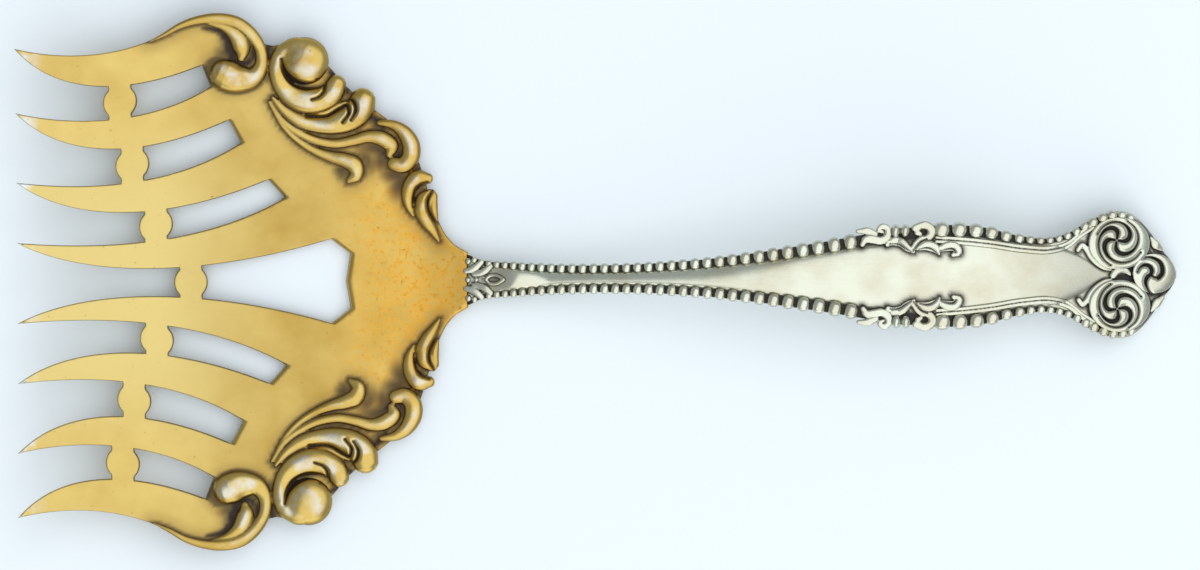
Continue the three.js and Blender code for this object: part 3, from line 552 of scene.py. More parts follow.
def hollows(piece, rounds):
    """How far the smoothed skin stands above each vertex, in millimetres: less than 0 on a crest."""
    places, normals = places_of(piece)
    count = len(places)
    ends = np.empty(len(piece.data.edges) * 2, np.int32)
    piece.data.edges.foreach_get("vertices", ends)
    a, b = ends[::2], ends[1::2]
    degree = np.bincount(ends, minlength=count)[:, None]
    soft = places.copy()
    for _ in range(rounds):
        around = [np.bincount(a, soft[b, k], count) + np.bincount(b, soft[a, k], count) for k in range(3)]
        soft = 0.5 * soft + 0.5 * np.stack(around, 1) / degree
    return ((soft - places) * normals).sum(1)


def shaped(holder):
    """The mesh of an object with its modifiers or bevel applied. The object is then removed."""
    bpy.context.scene.collection.objects.link(holder)
    bpy.context.view_layer.update()
    mesh = bpy.data.meshes.new_from_object(holder.evaluated_get(bpy.context.evaluated_depsgraph_get()))
    bpy.data.objects.remove(holder)
    return mesh


def poly_spline(curve, points, radii=None, closed=False):
    """Adds a run of straight steps through (x, y, z) points."""
    spline = curve.splines.new("POLY")
    spline.points.add(len(points) - 1)
    spline.points.foreach_set("co", np.c_[points, np.ones(len(points))].ravel())
    if radii is not None:
        spline.points.foreach_set("radius", radii)
    spline.use_cyclic_u = closed


def stroke_path(rows, surface, lift):
    """A smooth run through (x, y, half width) rows on a surface, with rounded ends, and its radii."""
    x, y, half = np.array(rows, float).T
    travel = np.concatenate([[0], np.cumsum(np.hypot(np.diff(x), np.diff(y)))])
    at = np.linspace(0, travel[-1], max(STROKE_LEAST_STEPS, round(travel[-1] / STROKE_STEP)))
    line = np.stack([run_of(zip(travel, column))(at) for column in (x, y, half)], 1)
    turns = np.radians(STROKE_END_DEGREES)
    ends = []
    for tip, inner in ((line[0], line[1]), (line[-1], line[-2])):
        out = (tip[:2] - inner[:2]) / np.linalg.norm(tip[:2] - inner[:2])
        ends.append([(*(tip[:2] + out * tip[2] * math.sin(a)), tip[2] * math.cos(a)) for a in turns])
    line = np.concatenate([ends[0], line, ends[1][::-1]])
    return np.c_[line[:, :2], surface(line[:, 0], line[:, 1]) + lift], line[:, 2]


def rounded_section(height, depth, fullness):
    """Arched section of a stroke, as shares of its half width, with a root below the surface."""
    turn = np.linspace(0, math.pi, SECTION_STEPS)
    across = np.sign(np.cos(turn)) * np.abs(np.cos(turn)) ** fullness
    return [*zip(across, height * np.sin(turn) ** fullness), (-1, -depth), (1, -depth)]


def swept(paths, section):
    """Mesh of a section drawn along paths and their radii, upright all the way."""
    outline = bpy.data.curves.new("section", "CURVE")
    poly_spline(outline, [(x, y, 0) for x, y in section], closed=True)
    profile = bpy.data.objects.new("section", outline)
    curve = bpy.data.curves.new("strokes", "CURVE")
    curve.dimensions = "3D"
    curve.twist_mode = "Z_UP"
    curve.bevel_mode = "OBJECT"
    curve.bevel_object = profile
    curve.use_fill_caps = True
    for points, radii in paths:
        poly_spline(curve, points, radii)
    mesh = shaped(bpy.data.objects.new("strokes", curve))
    bpy.data.objects.remove(profile)
    return mesh


def distance_from(paths, places):
    """How far each place lies from the nearest edge of the strokes, in plan."""
    spots = np.concatenate([np.c_[points[:, :2], radii] for points, radii in paths])
    least = np.full(len(places), np.inf)
    for x, y, radius in spots:
        np.minimum(least, np.hypot(places[:, 0] - x, places[:, 1] - y) - radius, out=least)
    return least


def on_handle(form, strokes, lift=0):
    """Strokes or grooves of (x, y, half width) rows on the handle."""
    return [stroke_path(rows, form.handle_top, lift) for rows in strokes]


def smoothed(bm, verts, rounds):
    for _ in range(rounds):
        bmesh.ops.smooth_vert(bm, verts=verts, factor=0.5, use_axis_x=True, use_axis_y=True, use_axis_z=True)


def struck_relief(paths, section, balls, surface, grain):
    """Strokes and (x, y, radii, lift) balls on a surface run into one skin, as if struck from one die."""
    bm = bmesh.new()
    bm.from_mesh(swept(paths, section))
    for x, y, (long, wide, high), lift in balls:
        slope = float(surface(x + 1, y) - surface(x - 1, y)) / 2
        seat = Matrix(((long, 0, 0, x), (0, wide, 0, y), (slope * long, 0, high, float(surface(x, y)) + lift),
                       (0, 0, 0, 1)))
        bmesh.ops.create_uvsphere(bm, u_segments=BOSS_SIDES, v_segments=BOSS_SIDES // 2, radius=1,
                                  matrix=seat)
    bmesh.ops.remove_doubles(bm, verts=bm.verts, dist=grain / 100)
    bmesh.ops.recalc_face_normals(bm, faces=bm.faces)
    holder = bpy.data.objects.new("loose_strokes", mesh_from("loose_strokes", bm))
    remesh = holder.modifiers.new("skin", "REMESH")
    remesh.mode = "VOXEL"
    remesh.voxel_size = grain
    bm = bmesh.new()
    bm.from_mesh(shaped(holder))
    smoothed(bm, bm.verts, SKIN_ROUNDS)
    bmesh.ops.recalc_face_normals(bm, faces=bm.faces)
    return bm


def engraved(bm, grooves, surface, depth, shoulder):
    """Cuts grooves with round shoulders into a relief, but not into the surface that carries it."""
    flat = np.array([v.co for v in bm.verts])
    near = distance_from(grooves, flat)
    floor = surface(flat[:, 0], flat[:, 1]) + CUT_FLOOR
    share = np.clip((near + CUT_START) / (shoulder + CUT_START), 0, 1)
    cut = depth * (1 - np.sqrt(1 - (1 - share) ** 2))
    for v, top, low, drop in zip(bm.verts, flat[:, 2], floor, cut):
        if top > low and drop > 0:
            v.co.z = max(top - drop, low)


def mirrored(bm):
    """The same piece for the other side of the fork."""
    other = bm.copy()
    bmesh.ops.scale(other, vec=(1, -1, 1), verts=other.verts)
    bmesh.ops.reverse_faces(other, faces=other.faces)
    return other


def soil_and_shade_relief(pieces, surface, deep, low, grooves, lobes=()):
    """Paints soil and shade into the grooves and the foot of a relief, film and painted shade into its
    hollows and along the edges of its lobes, and wear with a painted sheen on the upward middles of broad
    lobes. The pieces are mirror images, vertex by vertex."""
    places, normals = places_of(pieces[0])
    # Painted shade: creases and hollows found by smoothing, and the foot of the relief, are darkened as soil
    # and film
    groove, hollow = hollows(pieces[0], GROOVE_ROUNDS), hollows(pieces[0], HOLLOW_ROUNDS)
    height = places[:, 2] - surface(places[:, 0], places[:, 1])
    shaded_foot = 1 - smooth_share(height, 0, low)
    fields = {"soil_and_shade": np.maximum(smooth_share(groove, SOIL_AND_SHADE_START * deep, deep), shaded_foot),
              "film_and_shade": RELIEF_FILM_AND_SHADE * smooth_share(hollow, 0, FILM_AND_SHADE_REACH * deep)}
    if grooves:
        fields["soil_and_shade"] = np.maximum(fields["soil_and_shade"], falling(distance_from(grooves, places), "groove"))
    if lobes:
        inside = -distance_from(lobes, places)
        # Painted shade on the edges of the lobes
        fields["film_and_shade"] = np.maximum(fields["film_and_shade"], falling(inside, "lobe_edge"))
        # Painted sheen: the upward middles of broad lobes get worn silver that reads as a highlight
        broad = rising(inside, "lobe") * (1 - rising(inside, "lobe_middle"))
        fields["wear_and_sheen"] = broad * rising(normals[:, 2], "upward")
    for piece in pieces:
        for name, values in fields.items():
            set_field(piece, name, values)


def add_node(tree, kind, inputs=(), **settings):
    """A shader node with its settings, and its inputs by name or number as values or links."""
    made = tree.nodes.new(kind)
    for key, value in settings.items():
        setattr(made, key, value)
    for key, value in dict(inputs).items():
        if isinstance(value, bpy.types.NodeSocket):
            tree.links.new(value, made.inputs[key])
        else:
            made.inputs[key].default_value = value
    return made


def blank_material(name):
    """A material without nodes, and its node tree."""
    material = bpy.data.materials.new(name)
    material.use_nodes = True
    material.node_tree.nodes.clear()
    return material, material.node_tree


def marks(tree, *names):
    """Fields of the piece that a finish reads."""
    return [add_node(tree, "ShaderNodeAttribute", attribute_name=name).outputs["Fac"] for name in names]


def noise(tree, place, size, **settings):
    """Noise with features of a size in millimetres."""
    inputs = {"Vector": place, "Scale": 1 / (size * MM), **settings}
    return add_node(tree, "ShaderNodeTexNoise", inputs).outputs["Fac"]


def spread(tree, value, low=0, high=1, least=0, most=1):
    """A value between two limits, spread over another range."""
    return add_node(tree, "ShaderNodeMapRange", {0: value, 1: low, 2: high, 3: least, 4: most}).outputs[0]


def calc(tree, operation, *values):
    """A calculation with values or links."""
    return add_node(tree, "ShaderNodeMath", dict(enumerate(values)), operation=operation).outputs[0]


def blend(tree, share, under, over):
    """A tone with a share of another colour over it."""
    inputs = {0: share, 6: under, 7: (*over, 1)}
    return add_node(tree, "ShaderNodeMix", inputs, data_type="RGBA").outputs[2]


def metal_surface(tree, tone, metallic, rough, grain, strength, depth):
    """Ends a metal's tree, with a grain of a depth in millimetres."""
    bump = add_node(tree, "ShaderNodeBump", {"Strength": strength, "Distance": depth * MM, "Height": grain})
    shader = add_node(tree, "ShaderNodeBsdfPrincipled", {
        "Base Color": tone, "Metallic": metallic, "Roughness": rough, "Normal": bump.outputs[0]})
    add_node(tree, "ShaderNodeOutputMaterial", {"Surface": shader.outputs[0]})


def gilt_silver(colours):
    """Fire gilding on die-struck silver. The mercury gilding dries to a soft satin that is burnished only on
    the crests, so the eye gets a warm, slightly cloudy gold, dark soil with painted shade in the hollows, a
    brown film with painted shade round the scrolls and on the lobes' edges, and silver on the worn tips and,
    as a painted sheen, on the lobes' upward middles."""
    material, tree = blank_material("fire_gilt_silver")
    place = add_node(tree, "ShaderNodeTexCoord").outputs["Object"]
    soil_and_shade, film_and_shade, wear_and_sheen, stain, pale = marks(tree, "soil_and_shade", "film_and_shade", "wear_and_sheen", "stain", "pale")
    cloud = noise(tree, place, 6, Detail=4)
    speck = noise(tree, place, 0.7, Detail=6, Roughness=0.65)
    grain = noise(tree, place, 0.25, Detail=2)
    rub = noise(tree, place, 2.4, Detail=3)
    pits = noise(tree, place, 0.6, Detail=1)
    blotches = calc(tree, "MULTIPLY", spread(tree, rub, 0.34, 0.55, 0.5), spread(tree, speck, 0.36, 0.6))
    stained = calc(tree, "MULTIPLY", stain, blotches)
    # Worn silver, and on the lobes' upward middles also a painted sheen
    bare_and_sheen = calc(tree, "MULTIPLY", wear_and_sheen, spread(tree, rub, 0.42, 0.62))
    pitted = spread(tree, pits, 0.73, 0.82, 0, 0.5)
    flecked = calc(tree, "MULTIPLY_ADD", stain, spread(tree, speck, 0.53, 0.7, 0, 0.45), pitted)
    # Film with painted shade, together with dark flecks
    film_shade_and_flecks = calc(tree, "MAXIMUM", film_and_shade, flecked)
    tone = blend(tree, spread(tree, cloud, 0.35, 0.7), (*colours.gilt, 1), colours.deep_gilt)
    for share, over in ((pale, colours.pale_gilt), (stained, colours.stain), (bare_and_sheen, colours.worn_and_sheen),
                        (film_shade_and_flecks, colours.gilt_film_and_shade), (soil_and_shade, colours.gilt_soil_and_shade)):
        tone = blend(tree, share, tone, over)
    dull = calc(tree, "MULTIPLY_ADD", soil_and_shade, 0.3, spread(tree, speck, 0, 1, 0.24, 0.4))
    rough = calc(tree, "MULTIPLY_ADD", wear_and_sheen, -0.08, dull)
    metal_surface(tree, tone, spread(tree, soil_and_shade, 0, 1, 1, 0.3), rough, grain, 0.12, 0.03)
    return material


def oxidised_silver(colours):
    """Sterling silver, die-struck, oxidised and then polished by use. Hand wear keeps the crowns bright with
    fine scratches along the handle, a warm film lies on the flats, a grey film with painted shade lies round
    the ornaments, in the palmette's dish and towards the end, and black oxide with painted shade stays in
    every recess, under the beads and in the channels."""
    material, tree = blank_material("oxidised_silver")
    place = add_node(tree, "ShaderNodeTexCoord").outputs["Object"]
    soil_and_shade, film_and_shade = marks(tree, "soil_and_shade", "film_and_shade")
    cloud = noise(tree, place, 5, Detail=4)
    drawn = add_node(tree, "ShaderNodeMapping", {"Vector": place, "Scale": (0.06, 1, 1)}).outputs[0]
    scratch = noise(tree, drawn, 0.22, Detail=3)
    tone = blend(tree, spread(tree, cloud, 0.4, 0.72), (*colours.silver, 1), colours.tarnish)
    for share, over in ((film_and_shade, colours.silver_film_and_shade), (soil_and_shade, colours.oxide_and_shade)):
        tone = blend(tree, share, tone, over)
    rough = calc(tree, "MULTIPLY_ADD", soil_and_shade, 0.3, spread(tree, scratch, 0, 1, 0.16, 0.34))
    metal_surface(tree, tone, spread(tree, soil_and_shade, 0, 1, 1, 0.25), rough, scratch, 0.15, 0.02)
    return material


def paper(tone):
    """Matt coated paper, which spreads the light evenly."""
    material, tree = blank_material("matt_paper")
    shader = add_node(tree, "ShaderNodeBsdfPrincipled", {"Base Color": (*tone, 1), "Roughness": 0.9})
    add_node(tree, "ShaderNodeOutputMaterial", {"Surface": shader.outputs[0]})
    return material


def finish(name):
    """The named finish, made once."""
    makers = {GILT_SLOT: gilt_silver, SILVER_SLOT: oxidised_silver}
    kept = bpy.context.scene.get(f"finish_{name}")
    if kept is None:
        kept = makers[name](bpy.context.scene.fork_finish)
        bpy.context.scene[f"finish_{name}"] = kept
    return kept


def tine_edge(tip, waist, root, handles):
    """One edge of a tine, from its tip past its waist at the tie to its root."""
    # halfway, a cubic curve lies at an eighth of each end and three eighths of each handle
    bow = (8 * waist - tip - root[1]) / 6
    reach = root[0] - TIP_X
    ends = np.array([(TIP_X, tip), (TIP_X + handles[0] * reach, bow), (TIP_X + handles[1] * reach, bow),
                     root])
    t = np.linspace(0, 1, EDGE_STEPS)[:, None]
    return ((1 - t) ** 3 * ends[0] + 3 * t * (1 - t) ** 2 * ends[1] + 3 * t ** 2 * (1 - t) * ends[2]
            + t ** 3 * ends[3])


def cut_edge(edge, station, front):
    """The part of a tine's edge before or behind a station, ending on it."""
    at = [(station, np.interp(station, edge[:, 0], edge[:, 1]))]
    if front:
        return np.concatenate([edge[edge[:, 0] < station], at])
    return np.concatenate([at, edge[edge[:, 0] > station]])


def tie_side(station, low, high, neck, reach, steps):
    """Side of a round tie and its necks, from one tine to the next. A negative reach gives the front."""
    y = np.linspace(low, high, steps)
    bead = np.sqrt(np.clip(reach ** 2 - (y - (low + high) / 2) ** 2, 0, None))
    return np.stack([station + math.copysign(1, reach) * np.maximum(abs(neck), bead), y], 1)[1:-1]


def head_outlines(neck, reach):
    """The head's outline and the outlines of its seven slots, in plan."""
    flip = np.array([1, -1])
    inner, outer = [], []
    for tine in TINES:
        tip, waist, half = tine["tip"], tine["waist"], tine["width"] / 2
        inner.append(tine_edge(tip, waist - half, tine["inner_root"], INNER_EDGE_HANDLES))
        outer.append(tine_edge(tip, waist + half, tine["outer_root"], OUTER_EDGE_HANDLES))
    lower = [inner[0] * flip, *outer[:-1]]
    front, slots = [], []
    for k, station in enumerate(TIE_STATIONS):
        below, above = cut_edge(lower[k], station - neck, True), cut_edge(inner[k], station - neck, True)
        side = tie_side(station, below[-1, 1], above[-1, 1], -neck, -reach, TIE_STEPS)
        if k == 0:
            front.append(side[side[:, 1] > 0])
        else:
            front.extend([below[1:], side])
        front.append(above[::-1])
        below, above = cut_edge(lower[k], station + neck, False), cut_edge(inner[k], station + neck, False)
        side = tie_side(station, below[0, 1], above[0, 1], neck, reach, TIE_STEPS)[::-1]
        back = np.empty((0, 2))
        if k == 0:
            back = np.array([np.multiply(SLOT_CORNER, flip), (SLOT_BACK_X, 0), SLOT_CORNER])
        slot = np.concatenate([below, back, above[::-1], side])
        slots.append(slot)
        if k:
            slots.append(slot * flip)
    shoulder = np.array(SHOULDER_EDGE) + SHOULDER
    travel = np.concatenate([[0], np.cumsum(np.hypot(*np.diff(shoulder, axis=0).T))])
    at = np.linspace(0, travel[-1], SHOULDER_STEPS * len(shoulder))[1:]
    rounded = np.stack([run_of(zip(travel, column))(at) for column in shoulder.T], 1)
    half = np.concatenate([*front, outer[-1][1:], rounded, [(HEEL_X, HEEL_HALF_WIDTH)]])
    return [np.concatenate([half, (half * flip)[::-1]]), *slots]


def from_slot_ends(places):
    """How far each place lies from the ends of the slots in the palm, in plan."""
    ends = [((SLOT_BACK_X, 0), SLOT_CORNER), (SLOT_CORNER, TINES[0]["inner_root"])]
    ends += [(low["outer_root"], high["inner_root"]) for low, high in zip(TINES, TINES[1:])]
    spots = np.concatenate([np.linspace(a, b, SLOT_END_STEPS) for a, b in ends])
    return distance_from([(spots, np.zeros(len(spots)))], np.c_[places[:, 0], np.abs(places[:, 1])])


def border_paths(form, strokes, lift):
    """Strokes or grooves of the border on the +Y shoulder."""
    paths = []
    for rows in strokes.values():
        placed = [(SHOULDER[0] + x, SHOULDER[1] + y, half) for x, y, half in rows]
        paths.append(stroke_path(placed, form.plate_top, lift))
    return paths


class FORK_OT_gilt_head(bpy.types.Operator):
    """Pierced and dished head with eight tines and seven round ties"""

    bl_idname = "fork.gilt_head"
    bl_label = "Gilt Head"

    def execute(self, context):
        form = ForkForm(context.scene)
        bm = self.flat_plate(form.head)
        flat = np.array([v.co for v in bm.verts])
        from_ends = from_slot_ends(flat)
        slot_end = falling(from_ends, "slot_end")
        flat[:, 0] -= SLOT_SPLAY * (HALF_PLATE - flat[:, 2]) * slot_end
        flat[:, 0] += SLOT_BEVEL * rising(flat[:, 2], "bevel_height") * falling(from_ends, "slot_bevel")
        x, y = flat[:, 0], flat[:, 1]
        heights = form.underside(x) + form.dish(y) + (flat[:, 2] + HALF_PLATE) * form.plate_thickness(x)
        for v, along, height in zip(bm.verts, x, heights):
            v.co.x = along
            v.co.z = height
        bmesh.ops.recalc_face_normals(bm, faces=bm.faces)
        piece = new_piece("gilt_head", bm, GILT_SLOT, "fork_head")
        piece.modifiers.new("flat_faces", "WEIGHTED_NORMAL")
        self.mark(piece, form, flat, slot_end)
        return {"FINISHED"}

    def flat_plate(self, sizes):
        """The pierced plate before it is bent, cut along a grid so that it can bend."""
        rounding = sizes["edge_round"]
        curve = bpy.data.curves.new("head_outline", "CURVE")
        curve.dimensions = "2D"
        curve.fill_mode = "BOTH"
        curve.bevel_depth = rounding
        curve.bevel_resolution = EDGE_ROUND_STEPS
        curve.offset = -rounding
        curve.extrude = HALF_PLATE - rounding
        for outline in head_outlines(sizes["tie_neck"], sizes["tie_reach"]):
            poly_spline(curve, np.c_[outline, np.zeros(len(outline))], closed=True)
        bm = bmesh.new()
        bm.from_mesh(shaped(bpy.data.objects.new("head_outline", curve)))
        bmesh.ops.remove_doubles(bm, verts=bm.verts, dist=WELD)
        widest = max(abs(v.co.y) for v in bm.verts)
        for axis, low, high in ((0, TIP_X, HEEL_X), (1, -widest, widest)):
            for at in np.arange(low + HEAD_GRID, high, HEAD_GRID):
                spot, square = Vector((0, 0, 0)), Vector((0, 0, 0))
                spot[axis], square[axis] = at, 1
                bmesh.ops.bisect_plane(bm, geom=bm.verts[:] + bm.edges[:] + bm.faces[:], dist=WELD,
                                       plane_co=spot, plane_no=square)
        bmesh.ops.remove_doubles(bm, verts=bm.verts, dist=CUT_WELD)
        rim = [e for e in bm.edges if e.verts[0].co.z > 0 and abs(e.verts[0].co.y) > FLAT_HALF_WIDTH / 2
               and e.verts[0].co.x > SHOULDER[0] - HEAD_GRID and e.calc_length() > HEAD_GRID / 2]
        bmesh.ops.subdivide_edges(bm, edges=rim, cuts=1, use_grid_fill=True)
        return bm

    def mark(self, piece, form, flat, slot_end):
        """Painted shade on the walls, at the foot of the scrolls and as black shadows in the hollows beside
        them, soil and shade in the pockets between them, film on the palm with painted shade round the
        scrolls, rubbed tines, worn tips and the stained neck.
        """
        x, y = flat[:, 0], np.abs(flat[:, 1])
        plan = np.c_[x, y]
        near = distance_from(border_paths(form, BORDER_STROKES, 0), plan)
        # Painted shade: the pierced walls are darkened, less so at the slot ends
        wall_shade = falling(np.abs(flat[:, 2]), "wall_shade") * (1 - slot_end * rising(flat[:, 2], "slot_wall"))
        pocket = np.zeros(len(x))
        # Soil and painted shade in the pockets between the scrolls
        for px, py, radius in BORDER_POCKETS:
            away = np.hypot(x - SHOULDER[0] - px, y - SHOULDER[1] - py)
            pocket = np.maximum(pocket, 1 - smooth_share(away, POCKET_CORE * radius, radius))
        pocket *= falling(near, "pocket")
        # Painted shadows: black crescents in the hollows beside the scrolls
        hollow = falling(distance_from(border_paths(form, BORDER_SHADOWS, 0), plan), "hollow")
        set_field(piece, "soil_and_shade", np.maximum.reduce([wall_shade, falling(near, "border_foot"), pocket, hollow]))
        # Film on the palm, and painted shade on the plate round the scrolls
        palm = rising(x, "palm") * falling(x, "palm_end")
        set_field(piece, "film_and_shade", np.maximum(palm, falling(near, "border_film_and_shade")))
        set_field(piece, "wear_and_sheen", falling(x, "tips"))
        set_field(piece, "pale", falling(x, "tines") * (1 - rising(y, "outer_tines")))
        set_field(piece, "stain", rising(x, "neck"))


class FORK_OT_scroll_borders(bpy.types.Operator):
    """Struck scroll border along each shoulder"""

    bl_idname = "fork.scroll_borders"
    bl_label = "Scroll Borders"

    def execute(self, context):
        form = ForkForm(context.scene)
        paths = border_paths(form, BORDER_STROKES, form.head["border_lift"])
        grooves = border_paths(form, BORDER_GROOVES, 0)
        place = (SHOULDER[0] + BOSS["x"], SHOULDER[1] + BOSS["y"])
        boss = (*place, (BOSS["radius"], BOSS["radius"], BOSS["height"]), BOSS["lift"])
        left = struck_relief(paths, rounded_section(*BORDER_SECTION), [boss], form.plate_top,
                             form.head["border_grain"])
        spot = Vector((SHOULDER[0] + BOSS_EASE[0], SHOULDER[1] + BOSS_EASE[1]))
        smoothed(left, [v for v in left.verts if (v.co.xy - spot).length < BOSS_EASE[2]], EASE_ROUNDS)
        engraved(left, grooves, form.plate_top, *BORDER_CUT)
        right = mirrored(left)
        pieces = [new_piece(f"{side}_scrollwork", bm, GILT_SLOT, f"{side}_scroll_border")
                  for side, bm in (("left", left), ("right", right))]
        lobes = [*paths, (np.array([place]), np.array([BOSS["radius"]]))]
        soil_and_shade_relief(pieces, form.plate_top, *BORDER_SOIL_AND_SHADE, grooves, lobes)
        for piece in pieces:
            set_field(piece, "stain", rising(places_of(piece)[0][:, 0], "border_neck"))
        return {"FINISHED"}


class FORK_OT_shank(bpy.types.Operator):
    """Handle with a smooth crowned back, a rim for the beads and a spread end"""

    bl_idname = "fork.shank"
    bl_label = "Shank"

    def execute(self, context):
        form = ForkForm(context.scene)
        piece = new_piece("shank", self.skin(form), SILVER_SLOT, "handle")
        places = places_of(piece)[0]
        x, y = places[:, 0], np.abs(places[:, 1])
        plan = np.c_[x, y]
        above = places[:, 2] > form.rim_top(x) - TOP_MARGIN
        # Painted shade with oxide: the channel inside the beads, the ground round the crests and the
        # palmette's seams
        rim = rising(y - form.bead_line(x), "rim") * falling(x, "rim_end")
        crests = on_handle(form, (WHORL_LEAF, *END_STROKES.values(), *SIDE_STROKES.values()))
        near = np.minimum.reduce([distance_from(crests, plan), outside_dome(WHORL, x, y),
                                  outside_dome(END_DOME, x, y)])
        heel = on_handle(form, PALMETTE_STROKES.values())
        seams = falling(distance_from(heel, plan), "seam")
        set_field(piece, "soil_and_shade", above * np.maximum.reduce([rim, falling(near, "ground"), seams]))
        # Painted shade as a grey film: in the palmette's dish, round the crests and towards the spread end
        dish = np.hypot((x - PALMETTE_DISH[0]) / PALMETTE_DISH[1], y / PALMETTE_DISH[2])
        film_and_shade = np.maximum.reduce([falling(near, "crest_film_and_shade"), rising(x, "end_film_and_shade"), falling(dish, "dish")])
        set_field(piece, "film_and_shade", above * film_and_shade)
        return {"FINISHED"}

    def skin(self, form):
        """The closed skin through sections along the handle."""
        stations = np.linspace(HEEL_X, END_X, round((END_X - HEEL_X) / HANDLE_STEP) + 1)
        sections = [self.half_section(form, x) for x in stations]
        half_count = len(sections[0])
        around = 2 * (half_count - 1)
        bm = bmesh.new()
        bmesh.ops.create_grid(bm, x_segments=len(stations) - 1, y_segments=around, size=1)
        for v in bm.verts:
            i = round((v.co.x + 1) / 2 * (len(stations) - 1))
            j = round((v.co.y + 1) / 2 * around) % around
            side = 1 if j < half_count else -1
            y, z = sections[i][j if side > 0 else around - j]
            v.co = (stations[i], side * y, z)
        bmesh.ops.remove_doubles(bm, verts=bm.verts, dist=WELD)
        bmesh.ops.holes_fill(bm, edges=[e for e in bm.edges if e.is_boundary], sides=0)
        bmesh.ops.recalc_face_normals(bm, faces=bm.faces)
        return bm

    def half_section(self, form, x):
        """Points (y, z) from the middle of the underside round the rim to the top of the back."""
        w, low, rim, inner = (float(v) for v in (form.rim_half(x), form.underside(x), form.rim_top(x),
                                                 form.crown_half(x)))
        curl, lip = form.handle["rim_round"], RIM_LIP
        turn = np.linspace(0, math.pi / 2, CURL_STEPS)
        points = [(0, low), (BED_SHARE * (w - curl), low)]
        points += [(w - curl + curl * math.sin(a), low + curl - curl * math.cos(a)) for a in turn]
        points += [(w - lip + lip * math.cos(a), rim - lip + lip * math.sin(a)) for a in turn]
        points += [(w - lip + (inner - w + lip) * share, rim) for share in np.linspace(0, 1, RIM_STEPS)[1:-1]]
        across = inner * np.linspace(1, 0, CROWN_STEPS) ** CROWN_SPACING
        points += [(y, float(form.handle_top(x, y))) for y in across]
        return points


class FORK_OT_bead_rows(bpy.types.Operator):
    """Graduated beads along both rims of the handle, in a lower and an upper run"""

    bl_idname = "fork.bead_rows"
    bl_label = "Bead Rows"

    def execute(self, context):
        form = ForkForm(context.scene)
        for run, (rows, spacing, half_length, square) in BEAD_RUNS.items():
            bm = bmesh.new()
            x = rows[0][0]
            while x < rows[-1][0]:
                radius = float(form.bead_radius(x))
                px, py, slope = (float(v) for v in form.inside_rim(x, radius))
                slant = BEAD_SLANT * float(smooth_share(x, *SLANT_STATIONS))
                turn = Matrix.Rotation(math.atan(slope) - slant, 4, "Z")
                spot = Matrix.Translation((px, py, float(form.rim_top(px)) + BEAD_LIFT * radius))
                shape = Matrix.Diagonal((half_length * radius, BEAD_HALF_WIDTH * radius,
                                         BEAD_HALF_HEIGHT * radius, 1))
                bead = bmesh.ops.create_uvsphere(bm, u_segments=BEAD_SIDES, v_segments=BEAD_RINGS, radius=1)
                for v in bead["verts"]:
                    v.co = [math.copysign(abs(c) ** square, c) for c in v.co]
                bmesh.ops.transform(bm, verts=bead["verts"], matrix=spot @ turn @ shape)
                x += spacing * radius / math.hypot(1, slope)
            for side, beads in (("left", bm), ("right", mirrored(bm))):
                piece = new_piece(f"{side}_{run}_bead_row", beads, SILVER_SLOT, f"{side}_{run}_beads")
                places = places_of(piece)[0]
                height = places[:, 2] - form.rim_top(places[:, 0])
                # Painted shade with oxide on the underside of each bead
                set_field(piece, "soil_and_shade", falling(height / form.bead_radius(places[:, 0]), "bead_foot"))
        return {"FINISHED"}


def crest_piece(context, name, strokes, balls, sides, node, grooves=(), cut=(0, 0)):
    """An ornament struck on the handle, from (x, y, half width) strokes, (x, y, radii, lift) balls, and
    grooves with the depth and shoulder of their cut."""
    form = ForkForm(context.scene)
    paths, cuts = on_handle(form, strokes, form.handle["crest_lift"]), on_handle(form, grooves)
    bm = struck_relief(paths, rounded_section(*CREST_SECTION), balls, form.handle_top,
                       form.handle["crest_grain"])
    if cuts:
        engraved(bm, cuts, form.handle_top, *cut)
    pieces = []
    for side in sides:
        copy = mirrored(bm) if side == "right" else bm.copy()
        pieces.append(new_piece(f"{side}_{name}" if side else name, copy, SILVER_SLOT,
                                f"{side}_{node}" if side else node))
    soil_and_shade_relief(pieces, form.handle_top, *CREST_SOIL_AND_SHADE, cuts)
    bm.free()


class FORK_OT_palmette(bpy.types.Operator):
    """Palmette over the lap at the heel"""

    bl_idname = "fork.palmette"
    bl_label = "Heel Palmette"

    def execute(self, context):
        strokes = []
        for rows in PALMETTE_STROKES.values():
            strokes.extend([rows, [(x, -y, half) for x, y, half in rows]])
        balls = [(x, y, (radius, radius, radius), 0) for x, y, radius in PALMETTE_BEADS]
        crest_piece(context, "palmette", strokes, balls, [""], "heel_palmette")
        return {"FINISHED"}


class FORK_OT_side_scrolls(bpy.types.Operator):
    """Leaf and curl clusters at the widest part of the handle"""

    bl_idname = "fork.side_scrolls"
    bl_label = "Side Scrolls"

    def execute(self, context):
        balls = [(x, y, SIDE_BEAD_SHAPE, SIDE_BEAD_LIFT) for x, y in SIDE_BEADS]
        crest_piece(context, "leaf_cluster", SIDE_STROKES.values(), balls, ["left", "right"], "side_scroll",
                    SIDE_GROOVES.values(), SIDE_CUT)
        return {"FINISHED"}


class FORK_OT_thread_lines(bpy.types.Operator):
    """Two fine reeds inside the upper beads on each side"""

    bl_idname = "fork.thread_lines"
    bl_label = "Thread Lines"

    def execute(self, context):
        sizes = in_mm(context.scene.fork_handle)
        half, pitch = sizes["reed_half"], sizes["reed_pitch"]
        strokes = [[(x, y - inset, half) for x, y in THREAD_LINE] for inset in (0, pitch)]
        crest_piece(context, "thread_lines", strokes, [], ["left", "right"], "thread")
        return {"FINISHED"}


def dome_ball(dome):
    """A low oval dome as a ball of a struck relief."""
    return (*dome["ring"], (*dome["radii"], dome["height"]), dome["lift"])


